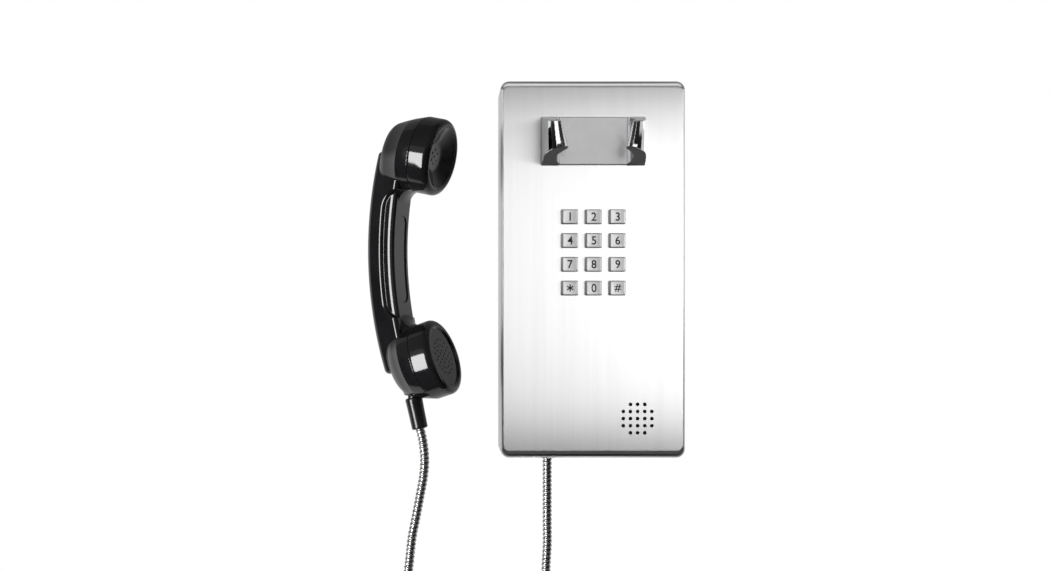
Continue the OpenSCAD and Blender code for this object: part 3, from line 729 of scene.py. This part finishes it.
def make_caps():
    """The ear cap, with a dish round its holes, and the mouth cap, with a flat face."""
    dish_floor, slope_steps = CAP_LENGTH - 7.8, 6
    ear_face = [(25.6, 17.35), (25.4, 16.9), (24.5, 16.85), (24.1, 16.6)]
    ear_face += [(24 - 12.7 * i / slope_steps, 16.5 - 6.8 * (i / slope_steps) ** 0.92)
                 for i in range(1, slope_steps)]
    ear_face += [(11.3, dish_floor + 0.05), (10.9, dish_floor), (5.0, dish_floor), (0, dish_floor)]
    make_cap("ear_cup", "ear_cap", EAR_RIM, EAR_TILT, ear_face, ring_places(5.6, 1), hole_r=1.0)
    mouth_face = [(24.6, 17.4), (24.0, 17.0), (23.8, 16.2), (23.4, 15.9), (18.0, 15.8),
                  (9.0, 15.75), (0, 15.75)]
    make_cap("mouth_cup", "mouth_cap", MOUTH_RIM, MOUTH_TILT, mouth_face, ring_places(4.8, 3),
             hole_r=0.9)


make_handset_body()
make_caps()


# ---------- strain relief boot ----------


def make_boot():
    """Moulded sleeve on the end of the armour, with the swivel pin and its washer above it."""
    tilt, length, top = math.radians(-12), 26.0, -103.0
    sleeve = [(0, 0), (4.3, 0), (5.6, 0.15), (6.3, 0.6), (6.55, 1.5), (6.55, 3.0), (6.5, 3.6),
              (6.6, 6.0)]
    sleeve += [(6.6 + 0.35 * (i / 5) ** 2, 6.0 + 16.5 * i / 5) for i in range(1, 6)]
    sleeve += [(7.05, 24.2), (6.7, 25.3), (5.9, 25.9), (5.0, length), (0, length)]
    pin = [(0, -12), (4.5, -12), (4.5, 14), (7.0, 14), (7.0, 15.6), (6.6, 16), (0, 16)]
    upright = Matrix.Translation((SWIVEL.x, SWIVEL.y, top * MM))
    leaning = upright @ Matrix.Rotation(tilt, 4, "Y") @ Matrix.Translation((0, 0, -length * MM))
    parts = []
    for profile, sides, matrix in ((sleeve, 64, leaning), (pin, 48, upright)):
        points, faces = lathe([(r * MM, z * MM) for r, z in profile], sides)
        parts.append((placed(points, matrix), faces))
    new_object("cord_boot", mesh_from("cord_boot", *gathered(parts), 35),
               "armoured_cord", "boot_rubber", "boot")


make_boot()


# ---------- cradle ----------

PLATE_THICKNESS = 3

def make_cradle():
    """Die-cast cradle in millimetres: a flat plate and two horns that curl inwards and taper."""
    low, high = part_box("cradle")
    centre_z = (low.z + high.z) / 2
    plate_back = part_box("cradle_gasket")[0].y
    reach = (plate_back - low.y) / MM
    half_w = (high.x - low.x) / 2 / MM
    half_h = (high.z - low.z) / 2 / MM
    outer = [(half_w, -2), (half_w, 0), (half_w - 0.3, 8), (half_w - 0.8, 16), (half_w - 1.9, 23),
             (half_w - 3.9, 29), (half_w - 6.2, 33), (half_w - 9.2, 36), (half_w - 12.6, 37.6),
             (half_w - 15.5, reach)]
    inner = [(21.0, reach), (23.5, 35.6), (26.6, 31.4), (29.2, 26.5), (30.4, 22), (30.6, 17.5),
             (30.2, 13.5), (29.5, 9.5), (28.6, 6.4), (27.8, 4.2), (27.2, 2.8), (27.2, -2)]
    outline = outer + inner

    def field(p):
        x, depth, z = np.abs(p[:, 0]), p[:, 1], p[:, 2]
        share = np.clip(depth / reach, 0, 1)
        inwards = np.clip((half_w - 2 - x) / 12, 0, 1)
        lean = 0.2 * (z + 1) * inwards * step_smooth(share, 0.3, 0.9)
        plan = polygon_2d(x - lean, depth, outline)
        upper = (z - half_h + 7.5 * share) * 0.98
        lower = (-z - half_h + 11 * share) * 0.96
        tip = (22.7 + 0.26 * (z + 8.5) - x) * 0.97
        tip = np.where(depth > 5, tip, -9.0)
        horn = meet_round(meet_round(meet_round(plan, upper, 0.7), lower, 0.7), tip, 0.5)
        middle = PLATE_THICKNESS / 2
        plate = meet_round(box_2d(x, z, half_w - 4, half_h - 0.5, 2),
                           np.abs(depth - middle) - middle, 0.5)
        return np.maximum(join_round(horn, plate, 0.6), -depth)

    step = 0.45
    matrix = Matrix.Translation((0, plate_back, centre_z)) @ Matrix.Diagonal((1, -1, 1, 1))
    mesh = field_mesh("cradle_casting", field, (-half_w - 2, -2, -half_h - 2),
                      (half_w + 2, reach + 2, half_h + 2), step, matrix)
    new_object("cradle_casting", mesh, "root", "cradle_chrome", "cradle")


make_cradle()


# ---------- keys ----------

DIGIT_HEIGHT = 6.8 * MM
MARK_DEPTH = 0.35 * MM
MARK_SHIFT = 0.4 * MM
CUTTER_HALF = 1.0 * MM
TEXT_SIZE = 0.01
TEXT_NARROWING = 0.92
TEXT_WEIGHT = 0.16 * MM


def key_mesh(name, centre, half_w, half_h, front_y, back_y):
    """A key with sloping left and right sides, a soft front edge and a hollowed face."""
    edge, hollow, corner, flange = 0.6 * MM, 0.28 * MM, KEY_CORNER, 1.5 * MM
    base_w = half_w + KEY_SLOPE
    face_w = half_w + 0.15 * MM
    loops = [(base_w + KEY_FLANGE, half_h + KEY_FLANGE, corner, back_y),
             (base_w + KEY_FLANGE, half_h + KEY_FLANGE, corner, back_y - flange),
             (base_w, half_h, corner, back_y - flange),
             (base_w, half_h, corner, FRONT_Y - 0.55 * MM),
             (base_w - 0.1 * MM, half_h, corner, FRONT_Y - 0.8 * MM)]
    for i in range(6):
        a = math.radians(18 * i)
        inset = edge * (1 - math.cos(a))
        loops.append((face_w - inset, half_h - inset, corner - inset,
                      front_y + edge * (1 - math.sin(a))))
    points, rings = [], []

    def face_y(x):
        return front_y + hollow * (1 - (x / (face_w - edge)) ** 2)

    for w, h, r, y in loops:
        rings.append(len(points))
        points += [(centre.x + x, y, centre.z + z) for x, z in rounded_outline(w, h, r)]
    around = len(points) // len(rings)
    for share in (0.94, 0.85, 0.72, 0.58, 0.44, 0.3, 0.15):
        rings.append(len(points))
        for x, z in rounded_outline(face_w - edge, half_h - edge, corner - edge):
            points.append((centre.x + x * share, face_y(x * share), centre.z + z * share))
    middle = len(points)
    points.append((centre.x, face_y(0), centre.z))
    faces = [tuple(range(around))]
    for a, b in zip(rings, rings[1:]):
        for k in range(around):
            n = (k + 1) % around
            faces.append((a + k, b + k, b + n, a + n))
    for k in range(around):
        faces.append((rings[-1] + k, middle, rings[-1] + (k + 1) % around))
    mesh = mesh_from(name, points, faces)
    clean_normals(mesh)
    return mesh


# Straight strokes of a mark in millimetres: centre x and z, half length, half width, angle
STROKES = {"*": [(0, 0, 2.9, 0.5, 90 + 60 * i) for i in range(3)],
           "#": [(-1.0, 0, 3.2, 0.42, 76), (1.0, 0, 3.2, 0.42, 76),
                 (0, 1.0, 2.9, 0.42, 0), (0, -1.0, 2.9, 0.42, 0)]}


def strokes_mesh(strokes):
    """A mark made of straight strokes, lying in X and Y and as thick as a cutter."""
    parts = []
    for cx, cz, half_l, half_t, degrees in strokes:
        c, s = math.cos(math.radians(degrees)), math.sin(math.radians(degrees))
        corners = [(half_l, half_t), (-half_l, half_t), (-half_l, -half_t), (half_l, -half_t)]
        outline = [(cx + x * c - z * s, cz + x * s + z * c) for x, z in corners]
        points = [(x * MM, z * MM, side * CUTTER_HALF) for side in (-1, 1) for x, z in outline]
        parts.append((points, prism(outline, 0, 1)[1]))
    return mesh_from("mark", *gathered(parts))


def digit_mesh(digit):
    """A plain sans-serif digit of the keys' size, lying in X and Y and as thick as a cutter."""
    text = bpy.data.curves.new("mark", "FONT")
    text.body = digit
    text.size = TEXT_SIZE
    text.extrude = CUTTER_HALF
    text.offset = TEXT_WEIGHT
    text.resolution_u = 6
    letter = bpy.data.objects.new("mark", text)
    scene.collection.objects.link(letter)
    evaluated = letter.evaluated_get(bpy.context.evaluated_depsgraph_get())
    mesh = bpy.data.meshes.new_from_object(evaluated)
    bpy.data.objects.remove(letter)
    co = np.array([v.co for v in mesh.vertices])
    low, high = co.min(0), co.max(0)
    scale = DIGIT_HEIGHT / (high[1] - low[1])
    spread = TEXT_NARROWING * scale
    for v, c in zip(mesh.vertices, co):
        v.co = ((c[0] - (low[0] + high[0]) / 2) * spread,
                (c[1] - (low[1] + high[1]) / 2) * scale, c[2])
    return mesh


def mark_cutter(mark, centre, front_y):
    """A digit or sign as a solid that engraves the key's face."""
    mesh = strokes_mesh(STROKES[mark]) if mark in STROKES else digit_mesh(mark)
    floor_y = front_y + MARK_SHIFT + MARK_DEPTH
    for v in mesh.vertices:
        x, z, y = v.co
        v.co = (centre.x + MARK_SHIFT + x, floor_y - y - CUTTER_HALF, centre.z + z)
    clean_normals(mesh)
    return cutter_from(mesh)


def make_keys(metal, paint):
    """Twelve keys with painted marks."""
    for node, mark in KEY_MARKS.items():
        low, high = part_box(node)
        centre = (low + high) / 2
        half_w = (high.x - low.x) / 2 - KEY_FLANGE - KEY_SLOPE
        half_h = (high.z - low.z) / 2 - KEY_FLANGE
        mesh = key_mesh("cap_" + node, centre, half_w, half_h, low.y, FRONT_Y + 3.15 * MM)
        mesh.materials.append(metal)
        key = new_object("cap_" + node, mesh, node, "key_metal", node)
        cutter = mark_cutter(mark, centre, low.y)
        cutter.data.materials.append(paint)
        cut(key, cutter)
        shade_smooth(key.data, 30)


# ---------- materials ----------

# Places of the colour sockets on a mix node, which has others of the same names
MIX_SHARE, MIX_COLOUR_A, MIX_COLOUR_B, MIX_COLOUR = 0, 6, 7, 2


def ramp(tree, value, low_high, to_low_high, kind):
    """Maps a value from one range to another and holds it there."""
    node = tree.nodes.new("ShaderNodeMapRange")
    node.interpolation_type = kind
    for name, number in zip(("From Min", "From Max", "To Min", "To Max"), low_high + to_low_high):
        node.inputs[name].default_value = number
    tree.links.new(value, node.inputs["Value"])
    return node.outputs["Result"]


def maths(tree, operation, a, b):
    node = tree.nodes.new("ShaderNodeMath")
    node.operation = operation
    tree.links.new(a, node.inputs[0])
    tree.links.new(b, node.inputs[1])
    return node.outputs["Value"]


class Shader:
    """A node material, with short calls for the few nodes that every finish here uses."""

    def __init__(self, name):
        self.material = bpy.data.materials.new(name)
        self.material.use_nodes = True
        self.tree = self.material.node_tree
        self.tree.nodes.clear()
        self.bsdf = self.tree.nodes.new("ShaderNodeBsdfPrincipled")
        output = self.tree.nodes.new("ShaderNodeOutputMaterial")
        self.link(self.bsdf.outputs["BSDF"], output.inputs["Surface"])
        self.place = self.tree.nodes.new("ShaderNodeTexCoord").outputs["Object"]

    def link(self, a, b):
        self.tree.links.new(a, b)

    def set(self, **values):
        for name, value in values.items():
            self.bsdf.inputs[name].default_value = value

    def stretched(self, scale):
        """Object coordinates scaled per axis, in features per metre."""
        node = self.tree.nodes.new("ShaderNodeMapping")
        node.inputs["Scale"].default_value = scale
        self.link(self.place, node.inputs["Vector"])
        return node.outputs["Vector"]

    def noise(self, scale, detail):
        """Soft noise; scale is one number, or one for each axis."""
        node = self.tree.nodes.new("ShaderNodeTexNoise")
        node.inputs["Scale"].default_value = 1.0
        node.inputs["Detail"].default_value = detail
        node.inputs["Roughness"].default_value = 0.55
        vector = scale if isinstance(scale, tuple) else (scale, scale, scale)
        self.link(self.stretched(vector), node.inputs["Vector"])
        return node.outputs["Fac"]

    def cells(self, scale):
        """Distance to the nearest point of a scattered pattern."""
        node = self.tree.nodes.new("ShaderNodeTexVoronoi")
        node.inputs["Scale"].default_value = 1.0
        self.link(self.stretched((scale, scale, scale)), node.inputs["Vector"])
        return node.outputs["Distance"]

    def remap(self, value, low, high, to_low, to_high):
        return ramp(self.tree, value, (low, high), (to_low, to_high), "LINEAR")

    def blend(self, share, a, b):
        """Colour between a and b."""
        node = self.tree.nodes.new("ShaderNodeMix")
        node.data_type = "RGBA"
        self.link(share, node.inputs[MIX_SHARE])
        for socket, value in ((MIX_COLOUR_A, a), (MIX_COLOUR_B, b)):
            node.inputs[socket].default_value = (*value, 1)
        return node.outputs[MIX_COLOUR]

    def colour(self, socket):
        self.link(socket, self.bsdf.inputs["Base Color"])

    def roughness(self, socket):
        self.link(socket, self.bsdf.inputs["Roughness"])

    def bump(self, height, distance):
        """Raises the surface by up to distance metres, on top of earlier bumps."""
        node = self.tree.nodes.new("ShaderNodeBump")
        node.inputs["Distance"].default_value = distance
        self.link(height, node.inputs["Height"])
        if self.bsdf.inputs["Normal"].is_linked:
            self.link(self.bsdf.inputs["Normal"].links[0].from_socket, node.inputs["Normal"])
        self.link(node.outputs["Normal"], self.bsdf.inputs["Normal"])


def plain_finish(name, light, dark, metallic, rough, scale, bump):
    """A finish with mottled colour, uneven gloss and a fine surface texture."""
    spread = 0.12
    s = Shader(name)
    s.set(Metallic=metallic)
    coarse, fine = s.noise(scale, 4), s.noise(scale * 9, 2)
    s.colour(s.blend(s.remap(coarse, 0.3, 0.7, 0, 1), dark, light))
    s.roughness(s.remap(coarse, 0.25, 0.75, rough - spread / 2, rough + spread / 2))
    s.bump(fine, bump)
    return s


def brushed_steel(name):
    """Stainless sheet with an upright grain, which smears reflections sideways."""
    s = Shader(name)
    s.set(Metallic=1.0, Anisotropic=1.0, Roughness=0.28)
    tangent = s.tree.nodes.new("ShaderNodeTangent")
    tangent.direction_type = "RADIAL"
    tangent.axis = "Z"
    s.link(tangent.outputs["Tangent"], s.bsdf.inputs["Tangent"])
    fine, broad = s.noise((900, 900, 11), 2), s.noise((260, 260, 4), 3)
    s.colour(s.blend(s.remap(broad, 0.1, 0.9, 0, 1), (0.70, 0.70, 0.705), (0.78, 0.78, 0.78)))
    s.bump(fine, 0.000004)
    return s


def chrome(name):
    """Polished plating with hairline wear, satin on the flat plate behind the horns."""
    s = Shader(name)
    s.set(Metallic=1.0)
    wear, hair = s.noise(60, 4), s.noise((1500, 300, 300), 2)
    s.colour(s.blend(s.remap(wear, 0.3, 0.7, 0, 1), (0.80, 0.80, 0.81), (0.86, 0.86, 0.87)))
    split = s.tree.nodes.new("ShaderNodeSeparateXYZ")
    s.link(s.place, split.inputs[0])
    plate_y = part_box("cradle_gasket")[0].y - PLATE_THICKNESS * MM
    polish = s.remap(s.noise(220, 4), 0.35, 0.75, 0.03, 0.07)
    satin = s.remap(split.outputs["Y"], plate_y - 0.6 * MM, plate_y - 0.1 * MM, 0, 0.25)
    s.roughness(maths(s.tree, "ADD", polish, satin))
    s.bump(hair, 0.0000006)
    return s


def glossy_plastic(name, rough):
    """Black moulded plastic: polished, with faint handling haze and a slight ripple."""
    s = Shader(name)
    s.set(IOR=1.5)
    haze, speck = s.noise(45, 5), s.noise(900, 2)
    s.colour(s.blend(s.remap(haze, 0.3, 0.7, 0, 1), (0.006, 0.006, 0.0065),
                     (0.010, 0.010, 0.011)))
    s.roughness(s.remap(haze, 0.3, 0.8, rough, rough + 0.06))
    s.bump(s.noise(120, 1), 0.00001)
    s.bump(speck, 0.0000015)
    return s


def armour_steel(name):
    """Steel strip of the hose, with dull and dirty spots."""
    s = Shader(name)
    s.set(Metallic=1.0)
    dirt = s.remap(s.noise(700, 3), 0.35, 0.65, 0, 1)
    s.colour(s.blend(dirt, (0.42, 0.42, 0.42), (0.66, 0.66, 0.65)))
    s.roughness(s.remap(s.noise(900, 3), 0.3, 0.7, 0.22, 0.38))
    s.bump(s.noise(2600, 2), 0.00003)
    return s


def circuit_board(name):
    """Green solder mask with scattered copper pads showing through."""
    s = plain_finish(name, (0.02, 0.16, 0.06), (0.012, 0.10, 0.04), 0.0, 0.4, 90, 0.00002)
    pads = s.remap(s.cells(260), 0.14, 0.2, 1, 0)
    s.colour(s.blend(pads, (0.015, 0.13, 0.05), (0.75, 0.55, 0.25)))
    return s


def steel_gauze(name):
    """Fine black mesh behind the grille."""
    s = plain_finish(name, (0.015, 0.015, 0.016), (0.005, 0.005, 0.005), 0.4, 0.6, 300, 0.00002)
    s.bump(s.cells(1500), 0.0002)
    return s


def make_materials():
    """One material for each material slot of the record."""
    made = {
        "housing_steel": brushed_steel("housing_steel"),
        "cradle_chrome": chrome("cradle_chrome"),
        "handset_plastic": glossy_plastic("handset_plastic", 0.055),
        "cap_plastic": glossy_plastic("cap_plastic", 0.06),
        "cord_armour": armour_steel("cord_armour"),
        "circuit_board": circuit_board("circuit_board"),
        "speaker_mesh": steel_gauze("speaker_mesh"),
        "boot_rubber": glossy_plastic("boot_rubber", 0.2),
    }
    # Light and dark colour, metallic, roughness, mottles per metre, bump in metres
    plain = {
        "plate_steel": ((0.52, 0.53, 0.54), (0.40, 0.41, 0.43), 1.0, 0.42, 120, 0.00002),
        "seal_rubber": ((0.03, 0.03, 0.03), (0.015, 0.015, 0.015), 0.0, 0.75, 260, 0.00006),
        "screw_steel": ((0.66, 0.66, 0.66), (0.52, 0.52, 0.53), 1.0, 0.3, 300, 0.00001),
        "zinc_steel": ((0.62, 0.62, 0.58), (0.48, 0.50, 0.50), 1.0, 0.36, 200, 0.00002),
        "key_metal": ((0.78, 0.78, 0.78), (0.73, 0.73, 0.73), 1.0, 0.34, 350, 0.000003),
        "cast_zinc": ((0.50, 0.51, 0.52), (0.38, 0.39, 0.40), 1.0, 0.5, 400, 0.00005),
        "mat_silicone": ((0.62, 0.62, 0.58), (0.50, 0.50, 0.47), 0.0, 0.55, 150, 0.00003),
        "board_plastic": ((0.10, 0.10, 0.11), (0.05, 0.05, 0.055), 0.0, 0.4, 300, 0.00003),
        "terminal_plastic": ((0.05, 0.26, 0.12), (0.03, 0.18, 0.08), 0.0, 0.38, 220, 0.00002),
        "reed_glass": ((0.55, 0.66, 0.62), (0.42, 0.55, 0.50), 0.0, 0.12, 500, 0.000005),
        "speaker_steel": ((0.30, 0.30, 0.31), (0.20, 0.20, 0.21), 1.0, 0.45, 250, 0.00002),
        "speaker_paper": ((0.05, 0.048, 0.045), (0.025, 0.024, 0.022), 0.0, 0.85, 500, 0.0001),
        "magnet_ferrite": ((0.09, 0.09, 0.095), (0.05, 0.05, 0.055), 0.0, 0.5, 300, 0.00004),
        "gland_steel": ((0.70, 0.70, 0.70), (0.58, 0.58, 0.59), 1.0, 0.25, 300, 0.00001),
        "capsule_metal": ((0.60, 0.60, 0.58), (0.45, 0.45, 0.44), 1.0, 0.35, 250, 0.00002),
        "lead_red": ((0.45, 0.03, 0.025), (0.28, 0.015, 0.012), 0.0, 0.45, 300, 0.00002),
    }
    for name, values in plain.items():
        made[name] = plain_finish(name, *values)
    return {name: shader.material for name, shader in made.items()}


def dress(made):
    """Gives every piece the material of its slot, the CAD nodes among them."""
    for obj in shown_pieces():
        if "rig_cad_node" in obj:
            for slot in obj.material_slots:
                slot.material = made[slot.material.name.split(".")[0]]
        elif not any(obj.data.materials):
            obj.data.materials.clear()
            obj.data.materials.append(made[obj["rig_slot"]])


materials = make_materials()
mark_paint = plain_finish("mark_paint", (0.012, 0.012, 0.012), (0.006, 0.006, 0.006),
                          0.0, 0.5, 900, 0.00001)
make_keys(materials["key_metal"], mark_paint.material)
dress(materials)


# ---------- light, floor and surroundings ----------


def make_world():
    """White to the camera; to reflections, pale behind the phone and dark in front of it."""
    world = bpy.data.worlds.new("studio")
    scene.world = world
    world.use_nodes = True
    tree = world.node_tree
    tree.nodes.clear()

    def node(kind):
        return tree.nodes.new("ShaderNode" + kind)

    split = node("SeparateXYZ")
    tree.links.new(node("TexCoord").outputs["Generated"], split.inputs[0])
    x, y, z = (split.outputs[axis] for axis in "XYZ")
    behind = ramp(tree, y, (0.10, 0.22), (0.0, 1.0), "SMOOTHSTEP")
    above = ramp(tree, z, (-0.05, 0.35), (0.012, 0.16), "SMOOTHSTEP")
    sideways = ramp(tree, x, (-0.75, 0.0), (1.1, 0.8), "SMOOTHSTEP")
    higher = ramp(tree, z, (0.05, 0.3), (1.0, 0.35), "SMOOTHSTEP")
    backdrop = maths(tree, "MULTIPLY", behind, maths(tree, "MULTIPLY", sideways, higher))
    brightest = maths(tree, "MAXIMUM", backdrop, above)
    studio, white = node("Background"), node("Background")
    tree.links.new(brightest, studio.inputs["Strength"])
    white.inputs["Strength"].default_value = 1.0
    white.inputs["Color"].default_value = (1, 1, 1, 1)
    mix = node("MixShader")
    tree.links.new(node("LightPath").outputs["Is Camera Ray"], mix.inputs["Fac"])
    tree.links.new(studio.outputs["Background"], mix.inputs[1])
    tree.links.new(white.outputs["Background"], mix.inputs[2])
    tree.links.new(mix.outputs["Shader"], node("OutputWorld").inputs["Surface"])


def soft_light(name, place, target, width, height, radiance, receivers):
    """A rectangular softbox facing a target, of the given brightness seen in a mirror."""
    data = bpy.data.lights.new(name, "AREA")
    data.shape = "RECTANGLE"
    data.size = width
    data.size_y = height
    data.energy = radiance * math.pi * width * height
    light = bpy.data.objects.new(name, data)
    light.location = place
    light.rotation_mode = "QUATERNION"
    light.rotation_quaternion = (Vector(target) - Vector(place)).to_track_quat("-Z", "Y")
    scene.collection.objects.link(light)
    group = bpy.data.collections.new(name + "_receivers")
    for obj in receivers:
        group.objects.link(obj)
    light.light_linking.receiver_collection = group


def make_floor():
    """Plain pale disc just below the hanging cord."""
    points, faces = lathe([(0, -0.02), (0.85, -0.02), (0.86, -0.012), (0.85, 0.0), (0, 0.0)], 128)
    floor_z = cad_box[0].z - 0.03
    mesh = mesh_from("floor", [(x, y, z + floor_z) for x, y, z in points], faces, 30)
    floor = bpy.data.objects.new("floor", mesh)
    scene.collection.objects.link(floor)
    paint = plain_finish("floor_paint", (0.82, 0.82, 0.81), (0.78, 0.78, 0.775),
                         0.0, 0.7, 6, 0.00005)
    mesh.materials.append(paint.material)
    floor.visible_glossy = False
    floor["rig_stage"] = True
    return floor


HANDSET_SLOTS = ("handset_plastic", "cap_plastic", "boot_rubber", "cord_armour")
# Name, place, target, width, height, brightness, and the group of pieces that it lights
LIGHTS = [
    ("floor_light", (0, 0, 2.4), (0, 0, 0), 3.0, 3.0, 3.2, "floor"),
    ("front_card", (1.4, -2.26, 0.068), (1.4, 0, 0.068), 2.7, 0.71, 2.75, "rest"),
    ("front_upper", (0.9, -2.1, 0.95), (0, 0, 0.1), 2.6, 0.75, 0.45, "rest"),
    ("side_left", (-2.2, -0.85, 0.55), (0, -0.06, 0.1), 1.8, 1.2, 1.3, "rest"),
    ("side_right", (2.2, -0.85, 0.55), (0, -0.06, 0.1), 1.8, 1.2, 1.3, "rest"),
    ("overhead", (0.0, -0.9, 1.6), (0, -0.05, 0.1), 2.6, 1.2, 0.9, "rest"),
    ("key_card", (0.75, -2.1, 0.1), (0, 0, 0), 1.6, 1.0, 1.5, "keys"),
    ("key_fill", (-1.0, -2.0, 0.1), (0, 0, 0), 1.6, 1.0, 0.85, "keys"),
    ("plate_card", (0.19, -2.26, 0.33), (0, 0, 0.1), 1.3, 1.1, 0.66, "cradle"),
    ("cradle_left", (-1.1, -1.0, 0.4), (0, 0, 0.1), 0.35, 1.6, 1.3, "cradle"),
    ("cradle_right", (1.2, -1.3, 0.3), (0, 0, 0.1), 0.5, 1.6, 1.3, "cradle"),
    ("under_glow", (0.0, -1.3, -0.85), (0, -0.08, 0.1), 2.6, 1.3, 0.09, "cradle_and_rest"),
    ("handset_box", (-1.04, -0.96, -0.24), (-0.15, -0.05, 0.0), 0.44, 0.95, 17.0, "handset"),
    ("handset_fill", (-1.3, -1.6, 0.1), (-0.15, -0.05, 0.0), 1.6, 1.6, 0.35, "handset"),
]


def light_scene(floor):
    """Lights each kind of surface on its own, as a product photographer's composite does."""
    groups = {"cradle": [], "handset": [], "keys": [], "rest": [], "floor": [floor]}
    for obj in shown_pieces():
        slot = obj.get("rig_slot")
        if slot == "cradle_chrome":
            groups["cradle"].append(obj)
        elif slot in HANDSET_SLOTS:
            groups["handset"].append(obj)
        elif slot == "key_metal":
            groups["keys"].append(obj)
        else:
            groups["rest"].append(obj)
    groups["cradle_and_rest"] = groups["cradle"] + groups["rest"]
    for *values, group in LIGHTS:
        soft_light(*values, groups[group])


make_world()
light_scene(make_floor())
